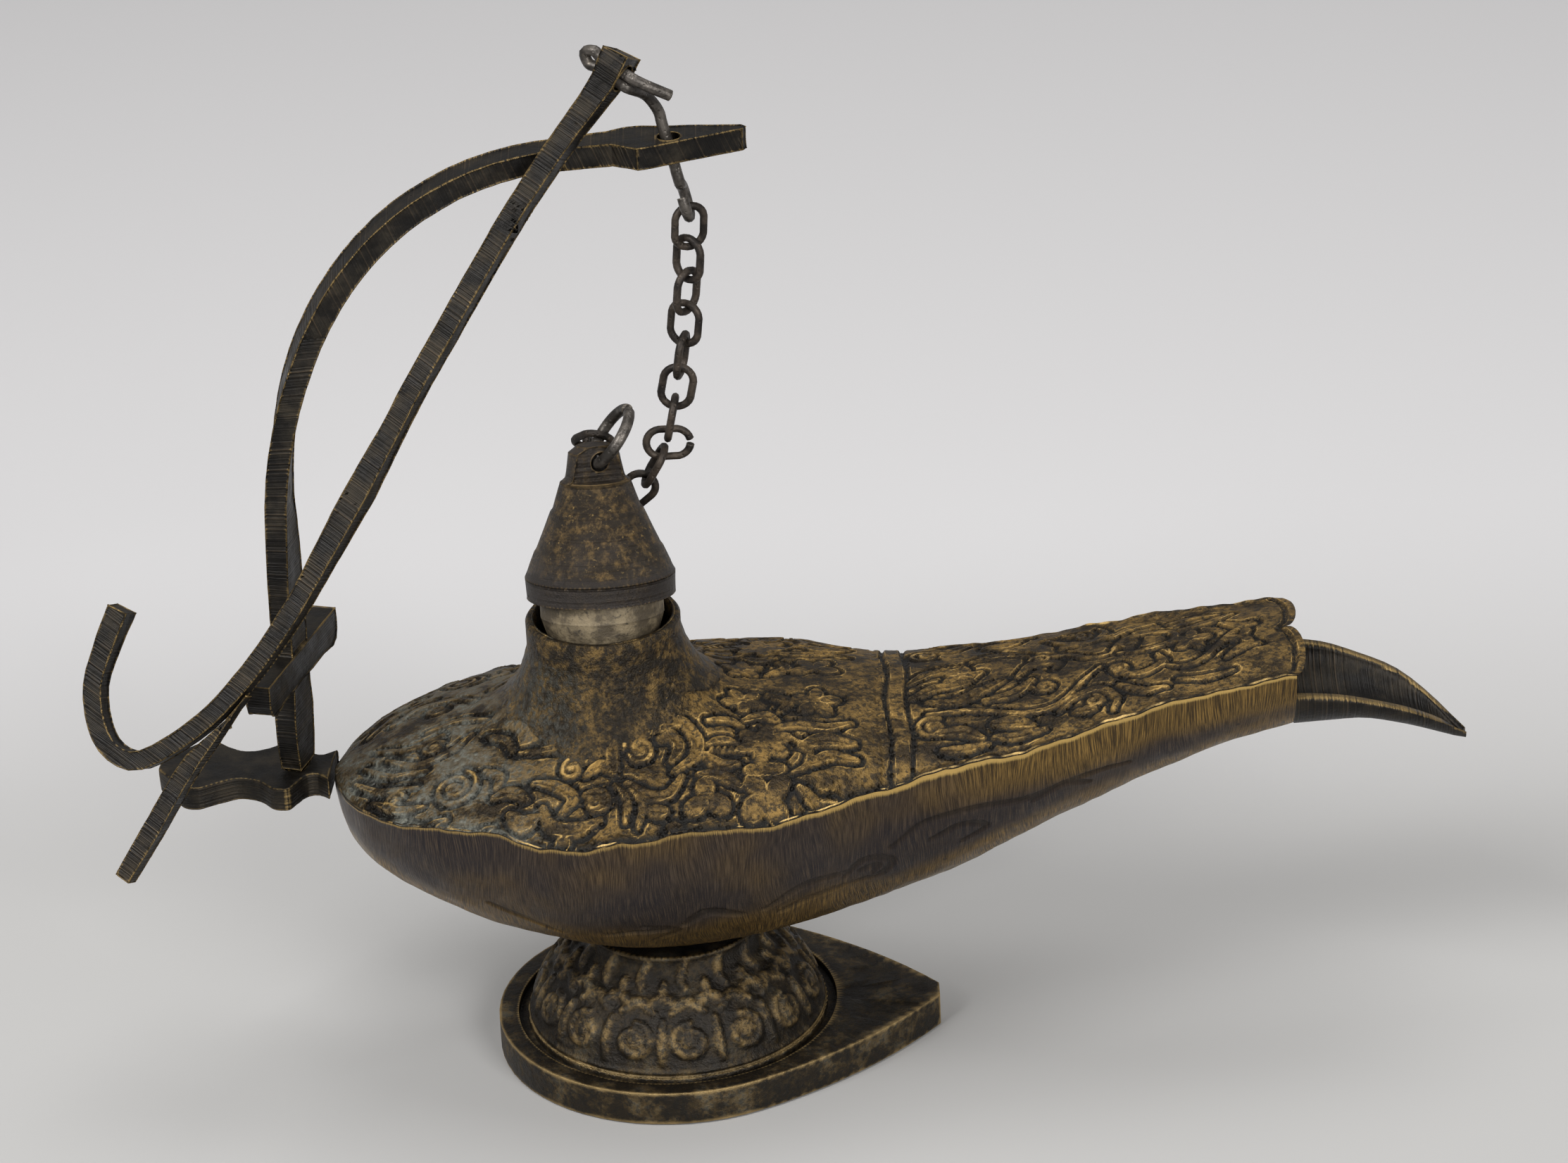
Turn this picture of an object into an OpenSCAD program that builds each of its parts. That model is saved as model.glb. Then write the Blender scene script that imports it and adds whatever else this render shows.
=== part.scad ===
// Cast brass oil lamp: pear-shaped body on a foot, loose cap on a chain,
// strap arm at the tail and a bar hanger with a hook and a spike.
// Millimetres, +Z up, +X towards the spout, origin under the foot's centre.

/* [Foot] */
// Radius of the round part of the foot plate
foot_r = 23.2; // [20:0.1:27]
// Distance from the foot's centre to the blunt point
foot_tip_x = 34; // [30:0.5:40]
// Thickness of the foot plate
foot_t = 4.5; // [3:0.1:6]
// Radius of the groove round the pedestal
foot_groove_r = 20.6; // [18:0.1:22]
// Radius of the pedestal's top
pedestal_top_r = 11.5; // [9:0.1:13]

/* [Body] */
// From the foot's centre back to the tail end of the body
body_back = 41.6; // [38:0.1:46]
// From the foot's centre forward to the mouth of the spout
mouth_x = 79; // [70:0.5:90]
// Greatest half width of the body
body_half_w = 26.6; // [22:0.1:30]
// Height of the seam between the shells at the tail
seam_z = 40; // [36:0.1:44]
// How much higher the seam lies at the mouth
seam_rise = 12.6; // [8:0.1:16]
// Height of the lowest point of the bowl's curve
bowl_z = 16.4; // [14:0.1:19]
// Height of the spout's underside at the mouth
mouth_keel_z = 42; // [38:0.1:45]
// Wall of the bowl
bowl_wall = 1.8; // [1.2:0.1:2.6]
// Height of the cover's crown over the seam at the belly
crown_h = 6.6; // [4:0.1:9]
// Wall of the cover
cover_wall = 1.6; // [1:0.1:2.4]
// How far the two lobes of the mouth's upper edge stand forward
mouth_lobe = 1.6; // [0.5:0.1:3]

/* [Tongue] */
// Length of the open tongue past the mouth
tongue_len = 22.3; // [16:0.1:28]
// Half width of the tongue at the mouth
tongue_half_w = 8.5; // [6:0.1:9.5]
// Step down from the mouth's edge to the tongue's edge
tongue_step = 4; // [2:0.1:6]
// Drop of the tongue's edge along its length
tongue_droop = 10; // [6:0.1:14]

/* [Neck and cap] */
// Distance of the neck's axis behind the foot's centre
neck_back = 6.5; // [3:0.1:9]
// Height of the neck's rim
rim_z = 60.6; // [57:0.1:64]
// Outer radius of the rim
rim_r = 9.7; // [9:0.1:11]
// Bore radius of the neck
neck_bore_r = 8.7; // [8.2:0.1:8.9]
// Radius of the cap's flange
cap_r = 9.45; // [9:0.05:10.5]
// Height of the cap from its flange to the top of its knob
cap_h = 19.3; // [16:0.1:23]
// Radius of the plug under the cap
plug_r = 7.75; // [7:0.05:8]
// Length of the plug below the flange
plug_len = 7; // [5:0.1:9]
// Backward lean of the cap as it sits askew
cap_lean = 13.5; // [8:0.5:14]
// Height of the leaning cap's flange centre over the rim
cap_seat = 2.7; // [2.5:0.1:5]
// Wire of the cap's ring
ring_wire = 1.45; // [1:0.05:1.8]
// Radius of the cap's ring to the middle of its wire
ring_r = 3.9; // [3.5:0.1:5]
// Clearance of the ring in the knob's hole
ring_play = 0.35; // [0.2:0.05:0.5]

/* [Tail and arm] */
// Length of the tail plate behind the body
tail_len = 22.4; // [18:0.1:26]
// Thickness of the tail plate
tail_t = 3.5; // [2.5:0.1:5]
// Greatest half width of the tail plate
tail_half_w = 6.9; // [5:0.1:8]
// Distance from the foot's centre to the foot of the arm
arm_back = 46.2; // [45:0.1:48]
// Thickness of the strap
strap_t = 2.9; // [2.2:0.1:3.6]
// Width of the strap at its foot
strap_w = 5.4; // [4.6:0.1:6.4]
// Width of the strap where it meets the leaf
strap_w_top = 4.4; // [3.6:0.1:5.4]
// Height of the arm's upper face
arm_top_z = 121; // [112:0.5:130]
// Height of the cross lobes
lobe_z = 55.4; // [52:0.1:60]
// Distance between the ends of the cross lobes
lobe_span = 24.2; // [18:0.1:28]
// Thickness of the lobes
lobe_t = 3.5; // [3:0.1:4.5]
// Height of each lobe
lobe_h = 4.9; // [4:0.1:6]
// Length of the leaf plate
leaf_len = 23.4; // [18:0.1:26]
// Half width of the leaf plate
leaf_half_w = 4.1; // [3.8:0.1:7]
// Thickness of the leaf plate
leaf_t = 3; // [2.2:0.1:3.4]
// Radius of the hole in the leaf
leaf_hole_r = 1.35; // [1.3:0.05:1.8]

/* [Wire hook] */
// Wire of the hook in the leaf
hook_wire = 1.45; // [1.2:0.05:1.6]
// Radius of the hook's lower eye to the middle of its wire
eye_r = 2.1; // [1.9:0.1:2.4]
// Height of the eye's centre
eye_z = 112.6; // [111.5:0.1:113.2]

/* [Hanger] */
// Side of the hanger's square bar at its lower end
bar_side = 2.5; // [2:0.1:3]
// Side of the hanger's head
head_side = 3.6; // [3.4:0.1:4]
// Distance along the bar from the head's hole to the fork
fork_at = 97; // [88:0.5:104]
// Length of the spike past the fork
spike_len = 20.5; // [14:0.5:26]
// Reach of the hook sideways from the bar
hook_reach = 17.4; // [12:0.1:22]
// Radius of the hole in the head
head_hole_r = 1.62; // [1.55:0.01:1.7]

/* [Chain] */
// Outer length of a link
link_len = 6.6; // [6:0.1:7]
// Outer width of a link
link_w = 4.8; // [4.6:0.1:5.4]
// Wire of the links
link_wire = 1.05; // [0.9:0.05:1.1]
// Play between two links
link_play = 0.06; // [0.04:0.01:0.1]

/* [Fits] */
// Solder joint between soldered pieces
solder = 0.1; // [0.05:0.01:0.2]
// Clearance between pieces that only rest on each other
rest_gap = 0.3; // [0.2:0.05:0.4]

/* [Hidden] */
$fn = 64;
brass = "#6b5a36";
dark_brass = "#3a3326";
iron = "#2f2c2a";

// Shape of the body along its length: share of the length, of the half width,
// of the seam's rise and of the keel's rise.
body_rows = [
  [0, 0.045, 0, 0.828], [0.006, 0.158, 0.008, 0.711], [0.018, 0.316, 0.024, 0.578],
  [0.047, 0.511, 0.056, 0.453], [0.096, 0.692, 0.103, 0.312], [0.162, 0.835, 0.143, 0.172],
  [0.245, 0.962, 0.140, 0.059], [0.312, 1, 0.175, 0.004], [0.378, 0.962, 0.250, 0],
  [0.444, 0.929, 0.290, 0.039], [0.494, 0.857, 0.335, 0.082], [0.544, 0.729, 0.350, 0.137],
  [0.594, 0.650, 0.375, 0.203], [0.643, 0.624, 0.437, 0.289], [0.743, 0.564, 0.571, 0.531],
  [0.843, 0.489, 0.754, 0.746], [0.925, 0.444, 0.889, 0.906], [1, 0.414, 1, 1],
  [1.03, 0.405, 1.035, 1.03]
];
// Height of the cover's crown along the body, as a share of its greatest height.
crown_rows = [
  [0, 0.06], [0.046, 0.4], [0.096, 0.62], [0.162, 0.82], [0.245, 0.95], [0.312, 1],
  [0.45, 0.88], [0.544, 0.7], [0.643, 0.48], [0.743, 0.36], [0.843, 0.3], [1, 0.26], [1.03, 0.26]
];
// Shape of the tongue: share of its length, of its half width, of its droop, of its depth.
tongue_rows = [
  [0, 1, 0, 1], [0.22, 0.955, 0.06, 0.87], [0.4, 0.87, 0.18, 0.67], [0.63, 0.73, 0.38, 0.57],
  [0.8, 0.49, 0.63, 0.43], [0.93, 0.21, 0.87, 0.28], [1, 0.07, 1, 0.16]
];
// Outline of the tail plate: share of its length and of its half width.
tail_rows = [
  [0, 0.62], [0.08, 0.4], [0.14, 0.5], [0.2, 0.96], [0.25, 1], [0.31, 0.95], [0.4, 0.66],
  [0.52, 0.56], [0.62, 0.72], [0.72, 0.93], [0.82, 0.86], [0.92, 0.5], [1, 0.16]
];

function row_at(rows, x, i = 0) =
  (i >= len(rows) - 2 || x < rows[i + 1][0]) ? i : row_at(rows, x, i + 1);
function slope(rows, c, i) =
  let(a = max(i - 1, 0), b = min(i + 1, len(rows) - 1))
  (rows[b][c] - rows[a][c]) / (rows[b][0] - rows[a][0]);
// Smooth curve through the rows' values in column c.
function curve(rows, c, x) =
  let(i = row_at(rows, x), h = rows[i + 1][0] - rows[i][0], t = (x - rows[i][0]) / h)
  (2 * t * t * t - 3 * t * t + 1) * rows[i][c] + (t * t * t - 2 * t * t + t) * h * slope(rows, c, i)
  + (3 * t * t - 2 * t * t * t) * rows[i + 1][c] + (t * t * t - t * t) * h * slope(rows, c, i + 1);
function lerp(a, b, t) = a + (b - a) * t;
function unit(v) = v / norm(v);

// Faces of a loft through closed loops of n points; both ends are closed, or
// the last loop joins the first.
function loft_faces(count, n, ring = false) = concat(
  [for (i = [0 : count - (ring ? 1 : 2)], j = [0 : n - 1])
    let(a = i * n + j, b = i * n + (j + 1) % n, k = (i + 1) % count, c = k * n + j, d = k * n + (j + 1) % n)
    each [[a, c, b], [b, c, d]]],
  ring ? [] : [[for (j = [0 : n - 1]) j], [for (j = [n - 1 : -1 : 0]) (count - 1) * n + j]]
);
module loft(loops, ring = false) {
  n = len(loops[0]);
  polyhedron(points = [for (l = loops) each l], faces = loft_faces(len(loops), n, ring), convexity = 8);
}

// Body ------------------------------------------------------------------
body_len = body_back + mouth_x;
function share(x) = (x + body_back) / body_len;
function half_w(x) = body_half_w * curve(body_rows, 1, share(x));
function seam(x) = seam_z + seam_rise * curve(body_rows, 2, share(x));
function keel(x) = bowl_z + (mouth_keel_z - bowl_z) * curve(body_rows, 3, share(x));
function crown(x) = crown_h * curve(crown_rows, 1, share(x));
// Stations along the body, closer together round the tail end.
shares = concat([0, 0.003, 0.008, 0.015, 0.025, 0.038, 0.054], [for (i = [0 : 36]) 0.075 + 0.925 * i / 36]);
stations = [for (s = shares) s * body_len - body_back];
pad_z = bowl_z + 1.2;

u_steps = 22;
function u_arc(x, w, top, bottom, floor_z, back = false) = [
  for (j = [0 : u_steps]) let(a = 180 * (back ? u_steps - j : j) / u_steps)
  [x, -w * cos(a), max(top - (top - bottom) * sin(a), min(floor_z, top - 0.2))]
];
function u_loop(xo, wo, to, ko, xi, wi, ti, ki) =
  concat(u_arc(xo, wo, to, ko, pad_z), u_arc(xi, wi, ti, ki, pad_z + bowl_wall, true));
inner_start = -body_back + bowl_wall;
function body_loop(s) =
  let(x = s * body_len - body_back, xi = lerp(inner_start, mouth_x, s), w = half_w(x),
      wi = max(half_w(xi) - bowl_wall, 0.5 * w))
  u_loop(x, w, seam(x), keel(x), xi, wi, seam(xi), min(keel(xi) + bowl_wall, seam(xi) - 0.4));
tongue_wall = 1.3;
tongue_rim = seam_z + seam_rise - tongue_step;
tongue_depth = tongue_rim - mouth_keel_z;
function tongue_loop(f) =
  let(x = mouth_x + 0.4 + tongue_len * f, w = tongue_half_w * curve(tongue_rows, 1, f),
      rim = tongue_rim - tongue_droop * curve(tongue_rows, 2, f),
      depth = tongue_depth * curve(tongue_rows, 3, f), wall = min(tongue_wall, w * 0.5),
      xi = x - tongue_wall * max(f - 0.8, 0) * 3)
  u_loop(x, w, rim, rim - depth, xi, w - wall, rim, rim - max(depth - wall, depth * 0.4));
tongue_shares = [for (i = [0 : 14]) i / 14];

module bowl() {
  color(brass)
    loft(concat([for (s = shares) body_loop(s)], [for (f = tongue_shares) tongue_loop(f)]));
}

// Cover -----------------------------------------------------------------
neck = [-neck_back, 0];
function mouth_edge(y) =
  let(h = half_w(mouth_x) / 2, u = (abs(y) - h) / h) mouth_x + mouth_lobe * sqrt(max(1 - u * u, 0));
mouth_ys = [for (i = [-7 : 7]) half_w(mouth_x) * i / 8];
// Plan outline of the cover: near side, mouth, far side.
outline = concat(
  [for (x = stations) [x, -half_w(x)]], [for (y = mouth_ys) [mouth_edge(y), y]],
  [for (i = [len(stations) - 1 : -1 : 0]) [stations[i], half_w(stations[i])]]
);
flare_h = 9;
flare_scale = 2.4;
function flare(r) = flare_h * exp(-(r - rim_r) / flare_scale);
function dome(p) =
  let(w = half_w(p[0]), t = min(abs(p[1]) / w, 1))
  seam(p[0]) + solder + crown(p[0]) * pow(1 - t * t, 0.75);
function neck_dir(o) = unit(o - neck);
// Rings of the cover: spread evenly from the outline in to near_r, then closer and closer to the neck.
near_r = 8;
near_steps = [8, 6.3, 4.8, 3.5, 2.4, 1.5, 0.7, 0];
function ray_point(o, r, t) =
  let(k = round((t - 1) * 7))
  t <= 1 ? lerp(o, neck + neck_dir(o) * (r + near_r), t) : neck + neck_dir(o) * (r + near_steps[k]);
function cover_outer(t) = [
  for (o = outline) let(p = ray_point(o, rim_r, t), r = norm(p - neck)) [p[0], p[1], dome(p) + flare(r)]
];
function inset(o) = neck + neck_dir(o) * max(norm(o - neck) - cover_wall * 1.6, rim_r + 1);
function cover_inner(t) = [
  for (o = outline)
    let(p = ray_point(inset(o), neck_bore_r, t), r = norm(p - neck), s = seam(p[0]) + solder)
    [p[0], p[1], max(s, dome(p) - cover_wall + flare(r + cover_wall) * min(t * 1.2, 1))]
];
function neck_ring(r, z) = [for (o = outline) let(p = neck + neck_dir(o) * r) [p[0], p[1], z]];
cover_ts = concat([0, 0.03, 0.08, 0.15, 0.24, 0.35, 0.47, 0.6, 0.73, 0.87], [for (k = [0 : 7]) 1 + k / 7]);
module cover() {
  color(brass)
    loft(concat(
      [for (t = cover_ts) cover_outer(t)],
      [neck_ring(rim_r, rim_z - 0.4), neck_ring(rim_r - 0.3, rim_z), neck_ring(neck_bore_r, rim_z)],
      [for (i = [len(cover_ts) - 1 : -1 : 0]) cover_inner(cover_ts[i])]
    ), ring = true);
}

// Foot ------------------------------------------------------------------
tip_half_w = 1.5;
side_r = 70;
side_turn = acos((side_r * side_r - foot_tip_x * foot_tip_x - tip_half_w * tip_half_w
  - (side_r - foot_r) * (side_r - foot_r)) / (2 * (side_r - foot_r) * norm([foot_tip_x, tip_half_w])))
  + atan2(tip_half_w, foot_tip_x);
side_centre = -(side_r - foot_r) * [cos(side_turn), sin(side_turn)];
tip_turn = atan2(tip_half_w - side_centre[1], foot_tip_x - side_centre[0]);
module foot_outline() {
  upper = concat(
    [for (i = [0 : 10]) side_centre + side_r * [cos(lerp(tip_turn, side_turn, i / 10)), sin(lerp(tip_turn, side_turn, i / 10))]],
    [for (i = [1 : 20]) foot_r * [cos(lerp(side_turn, 180, i / 20)), sin(lerp(side_turn, 180, i / 20))]]
  );
  polygon(concat(upper, [for (i = [len(upper) - 2 : -1 : 0]) [upper[i][0], -upper[i][1]]]));
}
groove_w = 1.2;
groove_d = 1.1;
module foot() {
  color(brass) {
    difference() {
      linear_extrude(foot_t) foot_outline();
      translate([0, 0, foot_t - groove_d])
        difference() {
          cylinder(h = groove_d + 1, r = foot_groove_r);
          translate([0, 0, -1]) cylinder(h = groove_d + 3, r = foot_groove_r - groove_w);
        }
    }
    pedestal();
  }
}
pedestal_foot_r = foot_groove_r - groove_w - 0.2;
// Pedestal: share of its rise and share of its narrowing.
pedestal_rows = [[0.05, 0], [0.16, 0.05], [0.34, 0.18], [0.53, 0.4], [0.65, 0.63], [0.77, 0.86], [0.88, 0.98], [1, 1]];
module pedestal() {
  rise = pad_z - solder - foot_t;
  rotate_extrude()
    polygon(concat([[0, foot_t - 1], [pedestal_foot_r, foot_t - 1]],
      [for (i = [0 : 14]) let(t = 0.05 + 0.95 * i / 14)
        [lerp(pedestal_foot_r, pedestal_top_r, min(max(curve(pedestal_rows, 1, t), 0), 1)), foot_t + rise * t]],
      [[0, pad_z - solder]]));
}

// Tail plate and arm ------------------------------------------------------
tail_turn = -5;
tail_top = seam_z + 1.5;
tail_start = body_back - 1.2;
tenon_l = 2;
tenon_w = 3;
fit = 0.05;
arm_foot = [-arm_back, 0.4];
low_turn = -17;
top_turn = 8;
module tail_plate() {
  pts = [for (i = [0 : 40]) let(s = i / 40) [-s * tail_len, tail_half_w * curve(tail_rows, 1, s)]];
  color(dark_brass)
    difference() {
      translate([-tail_start - 1.3, 0, tail_top - tail_t]) rotate(tail_turn)
        linear_extrude(tail_t)
          polygon(concat(pts, [for (i = [len(pts) - 1 : -1 : 0]) [pts[i][0], -pts[i][1]]]));
      translate([arm_foot[0], arm_foot[1], tail_top - tail_t - 1]) rotate(low_turn)
        linear_extrude(tail_t + 2) square([tenon_l + 2 * fit, tenon_w + 2 * fit], center = true);
    }
}

// The strap's middle line: up from the tail plate, then over in one long curve.
arm_knee_z = 78;
arm_end_x = -8;
arm_mid_z = arm_top_z - strap_t / 2;
curl = [[arm_foot[0] + 0.8, arm_knee_z], [arm_foot[0] + 2.6, arm_knee_z + 25],
  [-29, arm_mid_z + 0.2], [arm_end_x, arm_mid_z]];
function bez(p, t) =
  pow(1 - t, 3) * p[0] + 3 * t * pow(1 - t, 2) * p[1] + 3 * t * t * (1 - t) * p[2] + pow(t, 3) * p[3];
low_zs = [for (i = [0 : 9]) tail_top + fit + (arm_knee_z - tail_top) * i / 10];
function foot_x(z) = arm_foot[0] + 0.8 * (z - tail_top) / (arm_knee_z - tail_top);
arm_line = concat(
  [for (z = low_zs) [foot_x(z), z]], [for (i = [0 : 22]) bez(curl, i / 22)]
);
function arm_y(x) = arm_foot[1] + (x - arm_foot[0]) * tan(top_turn);
function arm_turn(z, x) = lerp(low_turn, top_turn, min(max((z - arm_knee_z + 12) / 30, 0), 1));
waist = [[41, 4.6], [45, 6], [48.5, 6.4], [52, 5.6], [58, strap_w], [80, strap_w], [125, strap_w_top]];
function strap_width(i) = i < 10 ? curve(waist, 1, arm_line[i][1]) : lerp(strap_w, strap_w_top, (i - 10) / 22);
function strap_loop(i) =
  let(p = arm_line[i], a = arm_line[max(i - 1, 0)], b = arm_line[min(i + 1, len(arm_line) - 1)],
      t = unit(b - a), turn = arm_turn(p[1], p[0]), c = [p[0], arm_y(p[0]), p[1]],
      w = [-sin(turn), cos(turn), 0] * strap_width(i) / 2,
      out = [-t[1] * cos(turn), -t[1] * sin(turn), t[0]] * strap_t / 2)
  [c - w + out, c - w - out, c + w - out, c + w + out];
leaf_turn = 9;
leaf_start = [arm_end_x - 0.8, arm_y(arm_end_x) + 0.1];
leaf_hole_at = [13.65, -1.4];
leaf_hole = leaf_start + [leaf_hole_at[0] * cos(leaf_turn) - leaf_hole_at[1] * sin(leaf_turn),
  leaf_hole_at[0] * sin(leaf_turn) + leaf_hole_at[1] * cos(leaf_turn)];
leaf_near_w = leaf_half_w + 0.7;
leaf_far_w = leaf_half_w - 0.75;
module leaf() {
  translate([leaf_start[0], leaf_start[1], arm_top_z - leaf_t + 0.05]) rotate(leaf_turn)
    difference() {
      linear_extrude(leaf_t)
        polygon([[0, -2.2], [6.5, -2.4], [9.2, -leaf_near_w], [10.4, -leaf_near_w + 0.1], [leaf_len - 0.6, -1.5],
          [leaf_len, -0.7], [leaf_len - 0.5, 0.1], [10.4, leaf_far_w], [9.2, leaf_far_w - 0.05],
          [6.5, 2.5], [0, 2.2]]);
      translate([leaf_hole_at[0], leaf_hole_at[1], -1]) cylinder(h = leaf_t + 2, r = leaf_hole_r);
    }
}
module lobes() {
  half = lobe_span / 2;
  near = half - 0.7;
  up = lobe_h / 2;
  translate([foot_x(lobe_z), arm_y(foot_x(lobe_z)), lobe_z]) rotate(low_turn) rotate([90, 0, 90])
    translate([0, 0, -lobe_t / 2]) linear_extrude(lobe_t)
      polygon([[-near, up], [half, up], [half, -up * 0.2], [half - 0.5, -up * 0.75], [half - 1.8, -up],
        [half - 5, -up * 0.8], [-near + 5, -up * 0.8], [-near + 1.8, -up], [-near + 0.5, -up * 0.75], [-near, -up * 0.2]]);
}
module arm() {
  color(dark_brass) {
    loft([for (i = [0 : len(arm_line) - 1]) strap_loop(i)]);
    lobes();
    leaf();
    translate([arm_foot[0], arm_foot[1], tail_top - tail_t]) rotate(low_turn)
      linear_extrude(tail_t + 1) square([tenon_l, tenon_w], center = true);
  }
}

// Round and square bars swept along a line --------------------------------
function smooth_line(p, steps) = [
  for (i = [0 : len(p) - 2], k = [0 : steps - 1])
    let(a = p[max(i - 1, 0)], b = p[i], c = p[i + 1], d = p[min(i + 2, len(p) - 1)], t = k / steps)
    0.5 * (2 * b + (c - a) * t + (2 * a - 5 * b + 4 * c - d) * t * t + (3 * b - a - 3 * c + d) * t * t * t),
  p[len(p) - 1]
];
function tangent(p, i) = unit(p[min(i + 1, len(p) - 1)] - p[max(i - 1, 0)]);
// A side vector carried along the line without twist.
function carry(p, v, i = 0, out = []) =
  i >= len(p) ? out :
  let(t = tangent(p, i), w = unit(v - (v * t) * t)) carry(p, w, i + 1, concat(out, [w]));
module round_bar(line, r, sides, first) {
  side = carry(line, first);
  loft([for (i = [0 : len(line) - 1])
    let(t = tangent(line, i), u = side[i], v = cross(t, u), k = is_list(r) ? r[i] : r)
    [for (j = [0 : sides - 1]) line[i] - k * (cos(360 * j / sides) * u + sin(360 * j / sides) * v) * 1]]);
}

// Wire hook ---------------------------------------------------------------
swivel = unit([-0.22, 0, 0.975]);
leaf_mid_z = arm_top_z - leaf_t / 2;
function on_swivel(z) = [leaf_hole[0], leaf_hole[1], leaf_mid_z] + swivel * (z - leaf_mid_z) / swivel[2];
head_at = [leaf_hole[0] - 6.1, leaf_hole[1] - 3.85, arm_top_z + 9.8];
head_dir = unit([0.764, -0.48, -0.431]);
bar_dir = unit([-0.563, -0.168, -0.810]);
bar_side_dir = -head_dir;
face_dir = unit(cross(bar_dir, head_dir));
strand = unit(cross(head_dir, [0, 0, 1]));
strand_up = cross(strand, head_dir);
pair = (hook_wire / 2 + 0.03) * unit(strand_up);
eye_c = on_swivel(eye_z);
module wire_hook() {
  top = concat(
    [head_at + head_dir * 8 + pair + [0.3, 3, -0.2], head_at + head_dir * 5 + pair + [0, 1, 0],
     head_at + head_dir * 2.6 + pair, head_at + pair, head_at - head_dir * 2.2 + pair,
     head_at - head_dir * 3.3 + pair * 1.3, head_at - head_dir * 4.3, head_at - head_dir * 3.3 - pair * 1.3,
     head_at - head_dir * 2.2 - pair, head_at - pair, head_at + head_dir * 2.4 - pair],
    [on_swivel(arm_top_z + 5.6) + [-0.9, -1.7, 0.4], on_swivel(arm_top_z + 3.4) + [0, -0.15, 0],
     on_swivel(arm_top_z + 1.5), on_swivel(leaf_mid_z), on_swivel(arm_top_z - leaf_t - 1)]);
  eye_side = unit(cross(swivel, [1, 0, 0]));
  loop = [for (a = [0 : 30 : 300]) eye_c + eye_r * (cos(a) * swivel + sin(a) * eye_side)];
  eye_path = concat([on_swivel(eye_z + eye_r + 1.4) - eye_side * 0.15], loop);
  color(iron) round_bar(smooth_line(concat(top, eye_path), 4), hook_wire / 2, 10, strand_up);
}

// Hanger ------------------------------------------------------------------
function on_bar(along, side = 0, face = 0) = head_at + bar_dir * along + bar_side_dir * side + face_dir * face;
hook_low = fork_at + 8;
hanger_line = smooth_line([
  on_bar(-2.6, 0.3), on_bar(1.5), on_bar(12, 0.9), on_bar(24, 1.2), on_bar(44, 0.6), on_bar(52, 0),
  on_bar(64, -0.6), on_bar(76, -1.1), on_bar(84, -0.8), on_bar(91, 0.2), on_bar(fork_at, 2),
  on_bar(hook_low - 1.4, 5.5), on_bar(hook_low, 9.2), on_bar(hook_low - 1.6, hook_reach - 4.6),
  on_bar(hook_low - 5.4, hook_reach - 1.4), on_bar(hook_low - 10.4, hook_reach),
  on_bar(hook_low - 15.4, hook_reach + 0.9)], 3);
head_face = head_hole_r + 0.75;
bar_sides = [[0, head_side / 2], [0.05, head_side / 2 * 0.96], [0.1, 1.45], [0.3, 1.35], [0.36, 1.62], [0.42, 1.35],
  [0.65, bar_side / 2], [0.9, bar_side / 2 * 1.08], [1, bar_side / 2 * 1.2]];
module square_bar(line, halves) {
  loft([for (i = [0 : len(line) - 1])
    let(t = tangent(line, i), u = cross(t, face_dir) * halves[i], v = face_dir * (i < 3 ? head_face : halves[i]))
    [line[i] - u + v, line[i] + u + v, line[i] + u - v, line[i] - u - v]]);
}
module along_head(h, r) {
  turn = atan2(head_dir[1], head_dir[0]);
  translate(head_at) rotate([0, acos(head_dir[2]), turn]) translate([0, 0, -h / 2]) cylinder(h = h, r = r);
}
module hanger_bar() {
  n = len(hanger_line) - 1;
  color(dark_brass)
    difference() {
      square_bar(hanger_line, [for (i = [0 : n]) curve(bar_sides, 1, i / n)]);
      along_head(head_side * 3, head_hole_r);
    }
}
// The spike is scarfed onto the lower side of the bar where the hook turns off:
// distance from the fork, lower side, upper side, half width of the faces.
scarf = [[-8, -1.9, -1.7, 1.1], [-4, -1.75, -1.05, 1.2], [-1, -1.6, -0.15, 1.25], [2.5, -1.4, 0.9, 1.25], [6, -1.35, 1.15, 1.25]];
module hanger_spike() {
  end_half = bar_side * 0.46;
  rows = concat(scarf, [[spike_len * 0.65, -1.65, 0.9, 1.25], [spike_len, -1.6, 0.7, end_half]]);
  color(dark_brass)
    loft([for (r = rows) let(k = bar_side / 2 / 1.25)
      [on_bar(fork_at + r[0], r[1] * k, -r[3] * k), on_bar(fork_at + r[0], r[1] * k, r[3] * k),
       on_bar(fork_at + r[0], r[2] * k, r[3] * k), on_bar(fork_at + r[0], r[2] * k, -r[3] * k)]]);
}

// Cap -----------------------------------------------------------------------
module on_cap() {
  translate([-neck_back, 0, rim_z + cap_seat]) rotate([-cap_lean, 0, 0]) children();
}
// Radius of the cap at shares of its height.
cap_rows = [[0, 0.985], [0.14, 1], [0.17, 0.97], [0.3, 0.86], [0.32, 0.83], [0.56, 0.62], [0.58, 0.585],
  [0.75, 0.47], [0.77, 0.41], [0.8, 0.39], [0.94, 0.34], [0.985, 0.22]];
knob_hole = cap_h * 0.86;
hole_turn = 16;
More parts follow.
